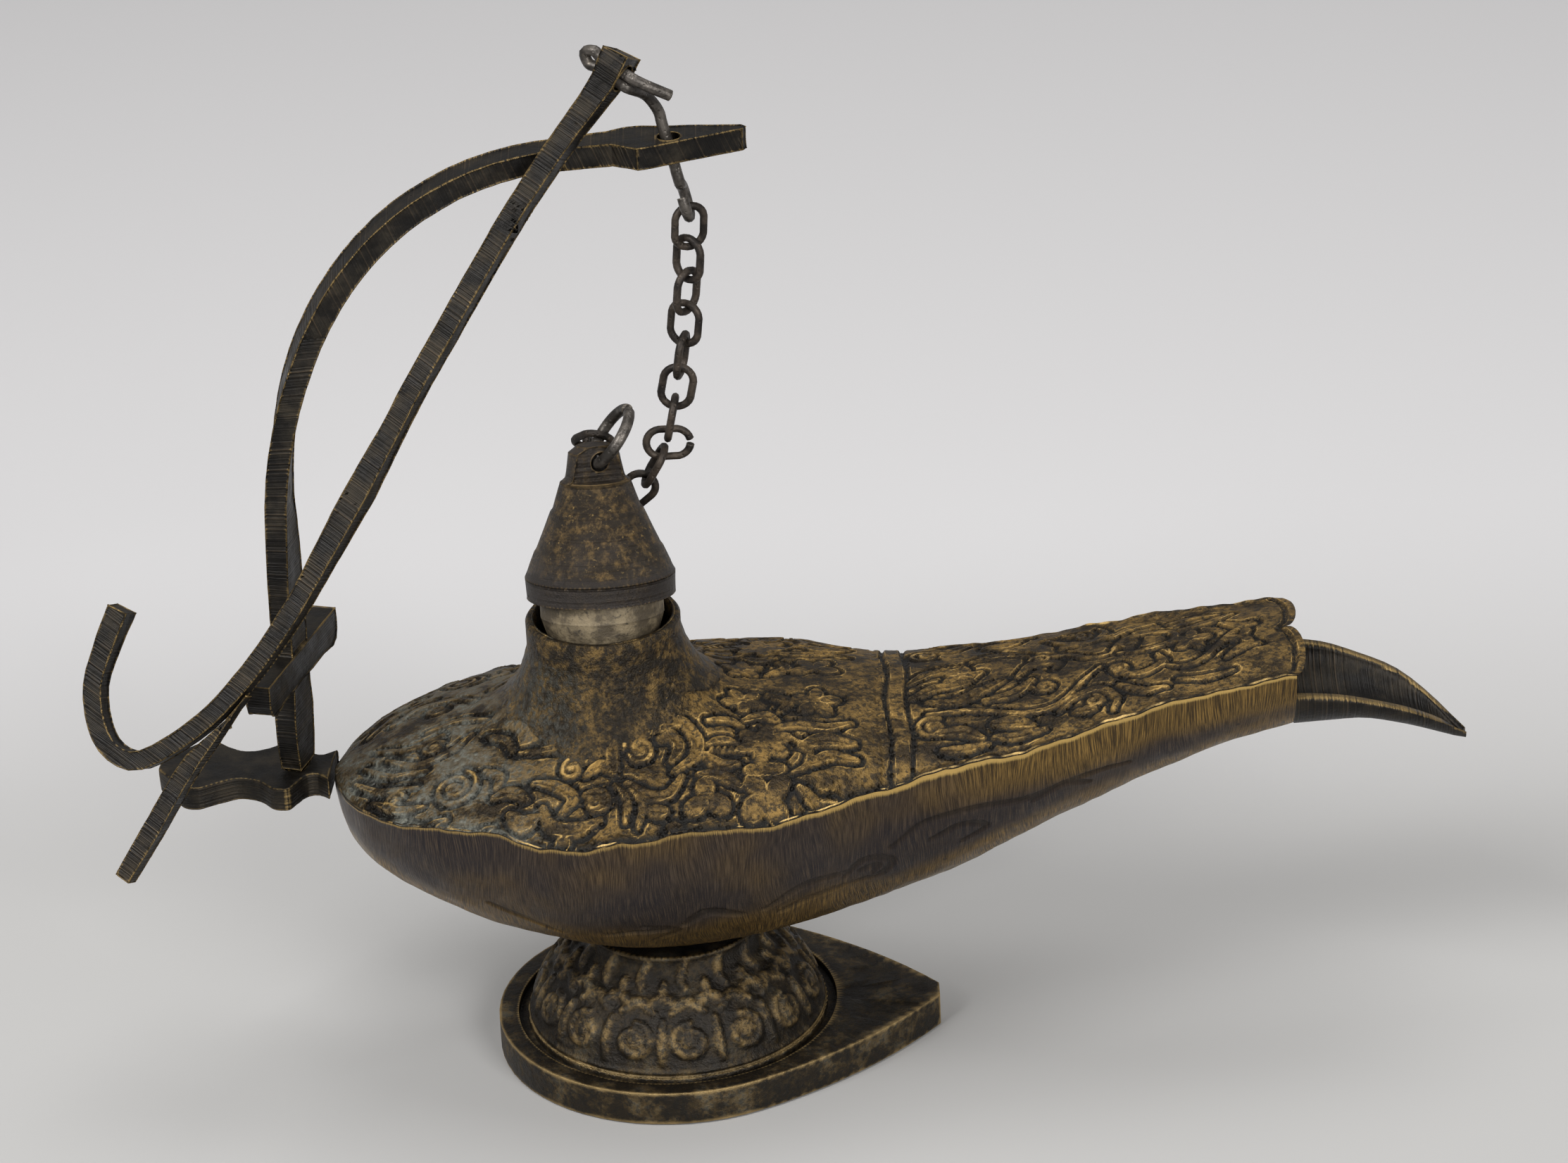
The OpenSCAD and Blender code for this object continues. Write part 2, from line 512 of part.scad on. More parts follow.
// Half thickness of the knob between its two flats.
knob_half = 1.9;
module in_knob_frame() {
  translate([0, 0, knob_hole]) rotate(hole_turn) rotate([0, ring_tilt, 0]) translate([0, 0, ring_r]) children();
}
module cap_cone() {
  color(dark_brass) on_cap()
    difference() {
      rotate_extrude()
        polygon(concat([[0, 0]], [for (p = cap_rows) [p[1] * cap_r, p[0] * cap_h]], [[0, cap_h]]));
      for (side = [-1, 1])
        translate([0, 0, knob_hole - 1.9]) rotate(hole_turn) translate([-cap_r, side > 0 ? knob_half : -cap_r - knob_half, 0])
          cube([2 * cap_r, cap_r, cap_r]);
      in_knob_frame() rotate([0, 90, 0]) rotate_extrude() translate([ring_r, 0]) circle(r = ring_wire / 2 + ring_play);
      translate([0, 0, -1]) cylinder(h = 1 + 2.5, r = plug_r - 2);
    }
}
plug_band = 2.4;
module cap_plug() {
  color("#b9ab93") on_cap()
    difference() {
      union() {
        translate([0, 0, -plug_len]) cylinder(h = plug_len - plug_band, r1 = plug_r - 1.4, r2 = plug_r);
        translate([0, 0, -plug_band - 0.01]) cylinder(h = plug_band + 0.01, r = plug_r);
        cylinder(h = 2.5 - fit, r = plug_r - 2 - fit);
      }
      translate([0, 0, -plug_len - 1]) cylinder(h = plug_len - 0.5, r = plug_r - 3);
    }
}
// The ring stands in the knob's hole, its far side up and to the right.
ring_tilt = 36;
module cap_ring() {
  color(iron) on_cap() in_knob_frame() rotate([0, 90, 0])
    rotate([0, 0, 200]) rotate_extrude(angle = 340) translate([ring_r, 0]) circle(d = ring_wire, $fn = 32);
}

// Chain ---------------------------------------------------------------------
half_l = (link_len - link_wire) / 2;
half_w_link = (link_w - link_wire) / 2;
grip = link_wire + link_play;
// Each link: turn of its plane, lean towards -X and lean towards +Y.
hang = [
  [20, 4, 5], [-40, 5, 5], [50, 6, 5], [-25, 7, 5], [75, 9, 5], [-5, 12, 5], [85, 12, 5],
  [0, 0, 0], [88, 30, 6], [5, 48, 8]
];
function lean_dir(h) = unit([-tan(h[1]), tan(h[2]), -1]);
chain_top = eye_c - swivel * eye_r + [0, 0, 0];
function link_up(i) = i == 7 ? half_w_link : half_l;
function down_dir(i) = i == 7 ? unit([-0.6, 0.1, -1]) : lean_dir(hang[i]);
function down_len(i) = i == 7 ? half_w_link * 1.1 : half_l;
// Centre of link i (from 0): the link above ends at its lower wire.
function link_c(i) = i == 0 ? chain_top + lean_dir(hang[0]) * (half_l - (hook_wire + link_wire) / 2 - 1.5 * link_play)
  : link_c(i - 1) + down_dir(i - 1) * down_len(i - 1) + (i == 7 ? [0, 0, -1] : lean_dir(hang[i])) * (link_up(i) - grip);
function link_line(a) =
  let(s = half_l - half_w_link)
  [half_w_link * cos(a), half_w_link * sin(a) + (sin(a) > 0 ? s : -s)];
// A link's middle line runs round two half circles; gap leaves part of it out.
module link(c, normal, long, from = 0, to = 360, sides = 8) {
  side = cross(long, normal);
  step = (to - from) / 24;
  closed = to - from == 360;
  pts = [for (k = [0 : closed ? 23 : 24]) let(q = link_line(from + step * (k + 0.5 * (closed ? 1 : 0)))) c + side * q[0] + long * q[1]];
  n = len(pts);
  loft([for (i = [0 : n - 1])
    let(t = closed ? unit(pts[(i + 1) % n] - pts[(i + n - 1) % n]) : tangent(pts, i), v = cross(t, normal))
    [for (j = [0 : sides - 1]) pts[i] + link_wire / 2 * (cos(360 * j / sides) * normal + sin(360 * j / sides) * v)]], ring = closed);
}
function plane_normal(h) = let(n = [sin(h[0]), -cos(h[0]), 0], d = lean_dir(h)) unit(n - (n * d) * d);
module hung_link(i) {
  h = hang[i];
  color(iron)
    if (i == 7) link(link_c(i), [0, -1, 0], [1, 0, 0], -258, 82);
    else if (i == 9) link(link_c(i), plane_normal(h), -lean_dir(h), -60, 240);
    else link(link_c(i), plane_normal(h), -lean_dir(h));
}
// Five more links behind the cap join the chain's end to the ring.
function turn_x(a, p) = [p[0], p[1] * cos(a) - p[2] * sin(a), p[1] * sin(a) + p[2] * cos(a)];
function turn_y(a, p) = [p[0] * cos(a) + p[2] * sin(a), p[1], p[2] * cos(a) - p[0] * sin(a)];
function turn_z(a, p) = [p[0] * cos(a) - p[1] * sin(a), p[0] * sin(a) + p[1] * cos(a), p[2]];
function on_ring(a) = [-neck_back, 0, rim_z + cap_seat] + turn_x(-cap_lean, [0, 0, knob_hole]
  + turn_z(hole_turn, turn_y(ring_tilt, ring_r * [0, sin(a), 1 - cos(a)])));
ring_at = 75.8;
pitch = 2 * half_l - grip;
// The chain is parted behind the cap: the next link stands clear of the open one.
parted = [-1.77, 2.46, -1.47];
low_end = link_c(9) + lean_dir(hang[9]) * half_l + parted;
first_back = low_end + pitch * unit([-0.243, 0.897, -0.369]);
last_dir = unit([0.551, -0.658, 0.514]);
last_start = on_ring(ring_at) - last_dir * (pitch - (link_wire + ring_wire) / 2 - 1.5 * link_play);
climb = last_start - first_back;
climb_dir = unit(climb);
bulge_way = [0.375, 0.927, 0];
bulge = unit(bulge_way - (bulge_way * climb_dir) * climb_dir);
bow = acos(min((norm(climb) / pitch - 1) / 2, 1));
// Ends of the links behind the cap, from the open link up to the ring.
steps_back = [low_end, first_back,
  first_back + pitch * (cos(bow) * climb_dir + sin(bow) * bulge),
  first_back + pitch * ((1 + cos(bow)) * climb_dir + sin(bow) * bulge),
  last_start, last_start + pitch * last_dir];
function back_long(k) = unit(steps_back[k + 1] - steps_back[k]);
function spin(v, axis, a) = v * cos(a) + cross(axis, v) * sin(a) + axis * (axis * v) * (1 - cos(a));
// Each of these links is turned a little further round than a right angle.
twist = 12.2;
function back_normal(k) =
  let(before = k == 4 ? on_ring(ring_at + 1) - on_ring(ring_at - 1) : cross(back_long(k + 1), back_normal(k + 1)),
      l = back_long(k), v = unit(before - (before * l) * l)) spin(v, l, twist);
module back_link(k) {
  color(iron) link(steps_back[k + 1] - back_long(k) * half_l, back_normal(k), back_long(k));
}

foot();
bowl();
cover();
tail_plate();
arm();
wire_hook();
hanger_bar();
hanger_spike();
cap_cone();
cap_plug();
cap_ring();
hung_link(0);  // chain_link_01
hung_link(1);  // chain_link_02
hung_link(2);  // chain_link_03
hung_link(3);  // chain_link_04
hung_link(4);  // chain_link_05
hung_link(5);  // chain_link_06
hung_link(6);  // chain_link_07
hung_link(7);  // chain_link_08
hung_link(8);  // chain_link_09
hung_link(9);  // chain_link_10
back_link(0);  // chain_link_11
back_link(1);  // chain_link_12
back_link(2);  // chain_link_13
back_link(3);  // chain_link_14
back_link(4);  // chain_link_15
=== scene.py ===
# %% [markdown]
# A cast brass oil lamp with a loose cap on a chain, a strap arm and a swinging bar
# hanger. The solids of every piece come from the CAD frame. This lesson dresses them:
# it rounds and wears the edges, cuts the engraving, and mixes each metal's patina.
# Lengths are in millimetres unless a comment says metres, and MM turns them into metres.

import math

import bmesh
import bpy
import numpy as np
from mathutils import Matrix, Vector, noise
from mathutils.kdtree import KDTree


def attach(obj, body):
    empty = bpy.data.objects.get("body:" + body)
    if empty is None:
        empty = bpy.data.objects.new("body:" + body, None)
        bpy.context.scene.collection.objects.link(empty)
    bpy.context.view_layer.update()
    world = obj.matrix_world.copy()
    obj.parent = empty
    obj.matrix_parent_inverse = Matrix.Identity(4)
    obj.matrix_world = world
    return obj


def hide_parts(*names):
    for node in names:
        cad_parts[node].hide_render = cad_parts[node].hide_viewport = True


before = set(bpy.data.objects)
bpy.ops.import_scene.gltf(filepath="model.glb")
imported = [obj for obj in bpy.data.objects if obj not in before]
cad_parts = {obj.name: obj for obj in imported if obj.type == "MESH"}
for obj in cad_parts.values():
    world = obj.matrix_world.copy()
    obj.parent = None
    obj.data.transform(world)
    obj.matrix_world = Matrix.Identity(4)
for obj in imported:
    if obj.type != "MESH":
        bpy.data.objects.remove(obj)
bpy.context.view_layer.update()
MM = 0.001
print("pieces in the frame:", len(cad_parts))

# %% [markdown]
# The camera stands a little above the lamp and looks slightly down with a long lens.
# A long lens keeps the foot and the arm in proportion, as a portrait lens does.

# %% Camera
LENS = 113.16
CAMERA_PLACE = (0.0163, -0.5538, 0.3280)  # metres
TILT_DOWN, ROLL = 25.5, 2.7
cam_data = bpy.data.cameras.new("lamp_camera")
cam_data.lens = LENS
cam_data.clip_start = 0.01
cam = bpy.data.objects.new("lamp_camera", cam_data)
bpy.context.scene.collection.objects.link(cam)
cam.matrix_world = (
    Matrix.Translation(CAMERA_PLACE)
    @ Matrix.Rotation(math.radians(90 - TILT_DOWN), 4, "X")
    @ Matrix.Rotation(math.radians(-ROLL), 4, "Z")
)
bpy.context.scene.camera = cam
print("camera with a lens of", LENS, "mm")

# %% [markdown]
# Soft light from the left, the right and above shows the relief without hard glints: a
# large lamp gives a wide, gentle highlight on metal.

# %% Lights and background
ROOM_COLOR, ROOM_STRENGTH = (0.80, 0.79, 0.79, 1), 0.34
# Name, place, point aimed at, width (in metres) and power in watts.
LAMPS = (
    ("window_left", (-0.50, -0.45, 0.70), (0.0, 0.0, 0.05), 0.40, 7.4),
    ("fill_front", (0.45, -0.80, 0.50), (0.02, 0.0, 0.05), 0.40, 7.0),
    ("top_soft", (0.1, 0.15, 0.9), (0.02, 0.0, 0.05), 0.6, 4.2),
)


def area_lamp(name, place, aim, size, power):
    data = bpy.data.lights.new(name, "AREA")
    data.size = size
    data.energy = power
    lamp = bpy.data.objects.new(name, data)
    lamp.location = place
    lamp.rotation_mode = "QUATERNION"
    lamp.rotation_quaternion = (Vector(aim) - Vector(place)).to_track_quat("-Z", "Y")
    bpy.context.scene.collection.objects.link(lamp)


for lamp in LAMPS:
    area_lamp(*lamp)

world = bpy.data.worlds.new("pale_room")
world.use_nodes = True
background = world.node_tree.nodes["Background"]
background.inputs["Color"].default_value = ROOM_COLOR
background.inputs["Strength"].default_value = ROOM_STRENGTH
bpy.context.scene.world = world
bpy.context.scene.view_settings.view_transform = "Standard"
print("lamps:", len(LAMPS))

# %% [markdown]
# Each finish is a small node graph. A helper adds nodes and joins them, so a material
# reads as a recipe: a pattern, a colour ramp and a bump for each layer.


# %% Material helpers
class Recipe:
    """A material with a Principled shader and short calls to add nodes."""

    def __init__(self, name, metallic, roughness):
        self.material = bpy.data.materials.new(name)
        self.material.use_nodes = True
        self.tree = self.material.node_tree
        self.shader = self.tree.nodes["Principled BSDF"]
        self.put(self.shader.inputs["Metallic"], metallic)
        self.put(self.shader.inputs["Roughness"], roughness)
        self.coords = self.tree.nodes.new("ShaderNodeTexCoord").outputs["Object"]

    def put(self, socket, value):
        """Joins a socket to another node's output, or sets its number or colour."""
        if isinstance(value, bpy.types.NodeSocket):
            self.tree.links.new(value, socket)
        else:
            socket.default_value = (*value, 1) if isinstance(value, tuple) else value

    def add(self, kind, inputs, **settings):
        """A new node with its settings made and its inputs filled."""
        made = self.tree.nodes.new(kind)
        for key, value in settings.items():
            setattr(made, key, value)
        for key, value in inputs.items():
            self.put(made.inputs[key], value)
        return made

    def attribute(self, name):
        return self.add("ShaderNodeAttribute", {}, attribute_name=name).outputs["Fac"]

    def noise(self, scale, detail, rough=0.55, vector=None):
        inputs = {"Scale": scale, "Detail": detail, "Roughness": rough}
        inputs["Vector"] = vector or self.coords
        return self.add("ShaderNodeTexNoise", inputs).outputs["Fac"]

    def stripes(self, along, scale, detail=2.0):
        """Noise that changes with one value only, as turning and file marks do."""
        inputs = {"W": along, "Scale": scale, "Detail": detail}
        return self.add("ShaderNodeTexNoise", inputs, noise_dimensions="1D").outputs["Fac"]

    def cells(self, scale):
        inputs = {"Vector": self.coords, "Scale": scale}
        return self.add("ShaderNodeTexVoronoi", inputs).outputs["Distance"]

    def ramp(self, value, low, high, start=0.0, end=1.0):
        """value between low and high, stretched to run from start to end."""
        inputs = {"Value": value, "From Min": low, "From Max": high, "To Min": start, "To Max": end}
        made = self.add("ShaderNodeMapRange", inputs, interpolation_type="SMOOTHSTEP")
        return made.outputs["Result"]

    def plus(self, a, b, how="ADD"):
        return self.add("ShaderNodeMath", {0: a, 1: b}, operation=how).outputs["Value"]

    def times(self, a, b):
        return self.plus(a, b, "MULTIPLY")

    def fray(self, value, pattern, share):
        """value with a share of a pattern added, so that its border is ragged."""
        return self.plus(value, self.times(pattern, share))

    def mix(self, amount, a, b):
        inputs = {"Factor": amount, "A": a, "B": b}
        return self.add("ShaderNodeMix", inputs, data_type="RGBA").outputs["Result"]

    def bump(self, height, distance, strength):
        inputs = {"Height": height, "Distance": distance, "Strength": strength}
        return self.add("ShaderNodeBump", inputs).outputs["Normal"]

    def finish(self, color, **others):
        """Fills the shader's inputs, which are named here in lower case."""
        self.put(self.shader.inputs["Base Color"], color)
        for name, value in others.items():
            self.put(self.shader.inputs[name.capitalize()], value)
        return self.material


print("recipe helper ready")

# %% [markdown]
# The floor is one matt, pale sheet with painted light: its colour grows a little lighter
# toward the back, as paper catches more light where it curves up behind a small object.

# %% Floor
FLOOR_HALF, FLOOR_DROP = 1.6, 0.0002  # metres
FADE_FROM, FADE_TO = 0.02, 0.16  # metres behind the lamp's middle


def pale_paper():
    r = Recipe("pale_paper", metallic=0.0, roughness=0.85)
    split = r.add("ShaderNodeSeparateXYZ", {"Vector": r.coords})
    # Painted light: the colour grows lighter from FADE_FROM to FADE_TO behind the lamp.
    painted_light_to_back = r.ramp(split.outputs["Y"], FADE_FROM, FADE_TO)
    return r.finish(r.mix(painted_light_to_back, (0.385, 0.38, 0.372), (0.535, 0.528, 0.53)))


def mesh_from(bm, name):
    mesh = bpy.data.meshes.new(name)
    bm.to_mesh(mesh)
    bm.free()
    return mesh


bm = bmesh.new()
bmesh.ops.create_grid(bm, x_segments=1, y_segments=1, size=FLOOR_HALF)
bmesh.ops.translate(bm, verts=bm.verts, vec=(0, 0, -FLOOR_DROP))
floor = bpy.data.objects.new("floor", mesh_from(bm, "floor"))
floor.data.materials.append(pale_paper())
bpy.context.scene.collection.objects.link(floor)
print("floor reaches", FLOOR_HALF, "m each way")

# %% [markdown]
# The body is a ship-like form: along its length a half width, a seam height, a crown and
# a keel each follow a smooth curve through a few rows. The skins below use the same
# curves as the CAD, so the engraving sits exactly on the solid.

# %% Curves of the body
BODY_BACK, MOUTH_X, HALF_WIDTH = 41.6, 79.0, 26.6
NECK_X, RIM_R, RIM_Z = -6.5, 9.7, 60.6
SEAM_Z, SEAM_RISE, KEEL_Z, KEEL_RISE = 40, 12.6, 16.4, 25.6
CROWN_RISE, SEAM_STEP = 6.6, 0.1
NECK_SWELL, NECK_FALL = 9, 2.4
# Share of the length, then shares of the half width, the seam's rise and the keel's rise.
BODY_ROWS = np.array([
    [0, 0.045, 0, 0.828], [0.006, 0.158, 0.008, 0.711], [0.018, 0.316, 0.024, 0.578],
    [0.047, 0.511, 0.056, 0.453], [0.096, 0.692, 0.103, 0.312], [0.162, 0.835, 0.143, 0.172],
    [0.245, 0.962, 0.140, 0.059], [0.312, 1, 0.175, 0.004], [0.378, 0.962, 0.250, 0],
    [0.444, 0.929, 0.290, 0.039], [0.494, 0.857, 0.335, 0.082], [0.544, 0.729, 0.350, 0.137],
    [0.594, 0.650, 0.375, 0.203], [0.643, 0.624, 0.437, 0.289], [0.743, 0.564, 0.571, 0.531],
    [0.843, 0.489, 0.754, 0.746], [0.925, 0.444, 0.889, 0.906], [1, 0.414, 1, 1],
    [1.03, 0.405, 1.035, 1.03],
])
# Share of the length, then share of the crown's rise.
CROWN_ROWS = np.array([
    [0, 0.06], [0.046, 0.4], [0.096, 0.62], [0.162, 0.82], [0.245, 0.95], [0.312, 1], [0.45, 0.88],
    [0.544, 0.7], [0.643, 0.48], [0.743, 0.36], [0.843, 0.3], [1, 0.26], [1.03, 0.26],
])


def curve(rows, column, x):
    """Smooth curve through the rows' values in one column."""
    i = np.clip(np.searchsorted(rows[:, 0], x, side="right") - 1, 0, len(rows) - 2)

    def slope(i):
        a, b = np.maximum(i - 1, 0), np.minimum(i + 1, len(rows) - 1)
        return (rows[b, column] - rows[a, column]) / (rows[b, 0] - rows[a, 0])

    h = rows[i + 1, 0] - rows[i, 0]
    t = (x - rows[i, 0]) / h
    return (
        (2 * t**3 - 3 * t**2 + 1) * rows[i, column] + (t**3 - 2 * t**2 + t) * h * slope(i)
        + (3 * t**2 - 2 * t**3) * rows[i + 1, column] + (t**3 - t**2) * h * slope(i + 1)
    )


def share(x):
    return (x + BODY_BACK) / (BODY_BACK + MOUTH_X)


def half_width(x):
    return HALF_WIDTH * curve(BODY_ROWS, 1, share(x))


def seam(x):
    return SEAM_Z + SEAM_RISE * curve(BODY_ROWS, 2, share(x))


def keel(x):
    return KEEL_Z + KEEL_RISE * curve(BODY_ROWS, 3, share(x))


print("seam height at the belly and at the mouth:", seam(np.array([0.0, MOUTH_X])).round(1))

# %% [markdown]
# The cover rises from the seam as a low crown and swells into the neck. Its hammered edge
# wanders up and down by about a millimetre.

# %% Top of the cover
# Place along the body, then how far the seam wanders there.
SEAM_WANDER = np.array([
    [-42, 0], [-35, -0.3], [-30, 0.1], [-25, 0.4], [-20, 0.5], [-15, -0.8], [-10, -0.7], [-5, 0],
    [0, -0.2], [5, -0.35], [10, -1.0], [15, -1.3], [20, -1.3], [25, -1.2], [30, -1.1], [35, -0.2],
    [40, -0.3], [45, -0.5], [50, 0.1], [60, 0.5], [65, 0.8], [70, 0.4], [75, 0.5], [80, 0.2],
])


def smooth(low, high, x):
    t = np.clip((x - low) / (high - low), 0, 1)
    return t * t * (3 - 2 * t)


def bell(x, reach):
    """One at zero, falling to nothing a few reaches away."""
    return np.exp(-((x / reach) ** 2))


def wander(x):
    wide = np.interp(x, SEAM_WANDER[:, 0], SEAM_WANDER[:, 1])
    return wide + 0.14 * np.sin(x * 0.83) + 0.05 * np.sin(x * 2.2)


def dome(x, y):
    """Height of the cover without its neck."""
    t = np.minimum(np.abs(y) / half_width(x), 1)
    crown = CROWN_RISE * curve(CROWN_ROWS, 1, share(x)) * (1 - t * t) ** 0.75
    return seam(x) + SEAM_STEP + crown + wander(x) * smooth(0.86, 1.0, t)


def cover_top(x, y):
    r = np.hypot(x - NECK_X, y)
    return dome(x, y) + NECK_SWELL * np.exp(-(np.maximum(r, RIM_R) - RIM_R) / NECK_FALL)


def one(height, *place):
    """A curve's value at one place."""
    return float(height(*(np.array(p) for p in place)))


print("cover's height in front of the neck:", round(one(cover_top, 5, 0), 1))

# %% [markdown]
# A helper makes a fine grid of quads, another keeps only part of it, and a third turns a
# mesh into a piece of the object, with its body and material.


# %% Mesh helpers
def points_of(mesh):
    co = np.empty(len(mesh.vertices) * 3)
    mesh.vertices.foreach_get("co", co)
    return co.reshape(-1, 3)


def set_points(mesh, co):
    """Moves every vertex to its row, given in millimetres."""
    mesh.vertices.foreach_set("co", np.ascontiguousarray(co * MM).ravel())
    mesh.update()


def columns(*xyz):
    return np.stack(xyz, axis=1)


def noise_at(*xyz):
    """Smooth noise between about -1 and 1, one value for each point."""
    return np.array([noise.noise(Vector(p)) for p in zip(*xyz)])


def grid(nu, nv):
    """A mesh of nu by nv quads, and each vertex's place (0 to 1) along both sides."""
    bm = bmesh.new()
    bmesh.ops.create_grid(bm, x_segments=nu, y_segments=nv, size=0.5)
    mesh = mesh_from(bm, "grid")
    co = points_of(mesh)
    return mesh, co[:, 0] + 0.5, co[:, 1] + 0.5


def mark(mesh, **values):
    """Stores one number per vertex under each name, for a material to read."""
    for name, numbers in values.items():
        layer = mesh.attributes.new(name, "FLOAT", "POINT")
        layer.data.foreach_set("value", np.ascontiguousarray(numbers, dtype=np.float32))


def cut_away(mesh, gone):
    """Deletes the marked vertices."""
    bm = bmesh.new()
    bm.from_mesh(mesh)
    bm.verts.ensure_lookup_table()
    bmesh.ops.delete(bm, geom=[bm.verts[i] for i in np.flatnonzero(gone)], context="VERTS")
    bm.to_mesh(mesh)
    bm.free()


def face_up(mesh, outward):
    """Turns all faces over if the middle one looks away from the outward side."""
    middle = mesh.polygons[len(mesh.polygons) // 2]
    if middle.normal.dot(Vector(outward)) < 0:
        mesh.flip_normals()


def make_piece(mesh, name, material, node=None, body="root"):
    """Turns a mesh into a piece that rides a body and may replace a node's plain look."""
    mesh.name = name
    mesh.materials.clear()
    mesh.materials.append(material)
    mesh.polygons.foreach_set("use_smooth", np.ones(len(mesh.polygons), dtype=bool))
    made = bpy.data.objects.new(name, mesh)
    bpy.context.scene.collection.objects.link(made)
    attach(made, body)
    if node:
        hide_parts(node)
    print(name, len(mesh.polygons), "faces")


print("mesh helpers ready")

# %% [markdown]
# The small pieces are copies of the CAD solids made to look old: sharp edges are
# rounded, long faces are divided, and low noise dents the surface inward. Two values are
# stored for the materials: how near a vertex is to a worn edge, and how far along it lies.

# %% Weathered copies of the CAD pieces
WELD, SPOT_STEP = 2e-6, 0.0005  # metres
ROUNDS, MOST_FACES = 7, 60000
RUBBED = 0.55
NOWHERE = Vector((9, 9, 9))


def welded(node):
    bm = bmesh.new()
    bm.from_mesh(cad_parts[node].data)
    bmesh.ops.remove_doubles(bm, verts=bm.verts, dist=WELD)
    return bm


def edge_tree(edges):
    """Tree of points every half millimetre along the edges."""
    spots = []
    for e in edges:
        a, b = e.verts[0].co, e.verts[1].co
        n = max(1, int((a - b).length / SPOT_STEP))
        spots += [a.lerp(b, i / n) for i in range(n + 1)]
    spots = spots or [NOWHERE]
    tree = KDTree(len(spots))
    for i, p in enumerate(spots):
        tree.insert(p, i)
    tree.balance()
    return tree


def to_triangles(bm):
    bmesh.ops.triangulate(bm, faces=[f for f in bm.faces if len(f.verts) > 3])


def weathered(node, bevel, longest, dents, sharp=32, join=1.5, along=None):
    """A copy with rounded edges, no edge much over longest, and dents."""
    bm = welded(node)
    if join:
        flat = math.radians(join)
        bmesh.ops.dissolve_limit(bm, angle_limit=flat, verts=bm.verts, edges=bm.edges)
    shared = [e for e in bm.edges if len(e.link_faces) == 2]
    crests = [e for e in shared if e.calc_face_angle() > math.radians(sharp)]
    tree = edge_tree([e for e in crests if e.is_convex])
    if bevel:
        bmesh.ops.bevel(
            bm, geom=crests, offset=bevel * MM, segments=2, profile=0.5, affect="EDGES",
            clamp_overlap=True, material=-1,
        )
    for _ in range(ROUNDS):
        to_triangles(bm)
        long_edges = [e for e in bm.edges if e.calc_length() > longest * MM]
        if not long_edges or len(bm.faces) > MOST_FACES:
            break
        bmesh.ops.subdivide_edges(bm, edges=long_edges, cuts=1)
    to_triangles(bm)
    bm.normal_update()
    worn, length = [], []
    for v in bm.verts:
        worn.append(bell(tree.find(v.co)[2] / MM, RUBBED))
        length.append(along(v.co / MM) if along else 0.0)
        low = noise.noise(v.co * 260) + 0.5 * noise.noise(v.co * 700)
        v.co -= v.normal * (dents * MM * (0.75 + 0.5 * low))
    mesh = mesh_from(bm, node)
    mark(mesh, worn=worn, along=length)
    mesh.validate()
    return mesh


def worn_piece(node, body, slot, material, *sizes, **options):
    mesh = weathered(node, *sizes, **options)
    make_piece(mesh, node + "_worn", material, node, body)


print("sharp edges will be rubbed within", RUBBED, "mm")

# %% [markdown]
# Dark metals first: the arm, tail plate and hanger are nearly black with brass showing on
# worn edges and across file marks; the wire and chain are bare dark iron.


# %% Dark brass and iron
def dark_brass_finish():
    r = Recipe("dark_brass", metallic=0.75, roughness=0.5)
    black, dark = (0.010, 0.009, 0.008), (0.034, 0.028, 0.020)
    brown, brass = (0.10, 0.072, 0.045), (0.40, 0.27, 0.10)
    mottle, fine = r.noise(260, 6, 0.65), r.noise(1500, 3, 0.6)
    marks = r.stripes(r.attribute("along"), 3.4, 3)
    base = r.mix(r.ramp(mottle, 0.38, 0.72), black, dark)
    streaks = r.ramp(r.fray(marks, mottle, 0.6), 0.86, 1.1)
    base = r.mix(r.times(streaks, 0.35), base, brown)
    rub_and_painted_glint = r.fray(r.fray(r.attribute("worn"), mottle, 0.7), marks, 0.9)
    color = r.mix(r.ramp(rub_and_painted_glint, 1.42, 1.95, 0, 0.55), base, brass)
    normal = r.bump(r.fray(r.times(marks, 0.7), fine, 0.25), 0.0006, 0.5)
    return r.finish(color, roughness=r.ramp(mottle, 0.3, 0.75, 0.38, 0.62), normal=normal)


def iron_finish(name, low, high, rough=0.55):
    r = Recipe(name, metallic=0.6, roughness=rough)
    rubbed = (0.20, 0.17, 0.13)
    patch, pits = r.noise(420, 6, 0.65), r.cells(1600)
    color = r.mix(r.ramp(patch, 0.38, 0.66), low, high)
    rub_and_painted_glint = r.ramp(r.plus(r.attribute("worn"), patch), 1.2, 1.6, 0, 0.5)
    height = r.fray(patch, r.ramp(pits, 0.0, 0.35), 0.5)
    return r.finish(r.mix(rub_and_painted_glint, color, rubbed), normal=r.bump(height, 0.00025, 0.6))


dark_brass = dark_brass_finish()
chain_iron = iron_finish("chain_iron", (0.016, 0.013, 0.011), (0.075, 0.058, 0.044))
wire_iron = iron_finish("wire_iron", (0.030, 0.026, 0.022), (0.13, 0.115, 0.10), 0.42)
print("dark finishes:", dark_brass.name, chain_iron.name, wire_iron.name)

# %% [markdown]
# The arm's file marks run across it, so the value along the arm is its height up the
# post and then its reach toward the hook.

# %% Arm, tail plate and hanger
BEND_Z, POST_X = 100, -46.2
HANGER_DOWN = Vector((-0.563, -0.168, -0.810))
STRAP = (0.32, 0.6, 0.24)  # bevel, longest edge and dents


def along_arm(p):
    if p.z < BEND_Z:
        return p.z
    return BEND_Z + (p.x - POST_X) * 0.9 + (p.z - BEND_Z) * 0.35


def along_hanger(p):
    return p.dot(HANGER_DOWN)


for node, body, along in (
    ("arm", "root", along_arm), ("tail_plate", "root", along_arm),
    ("hanger_bar", "hanger", along_hanger), ("hanger_spike", "hanger", along_hanger),
):
    worn_piece(node, body, "dark_brass", dark_brass, *STRAP, along=along)

# %% [markdown]
# The hook, the cap's ring and each chain link are round wire, so only their surface is
# roughened: they have no edges to round.

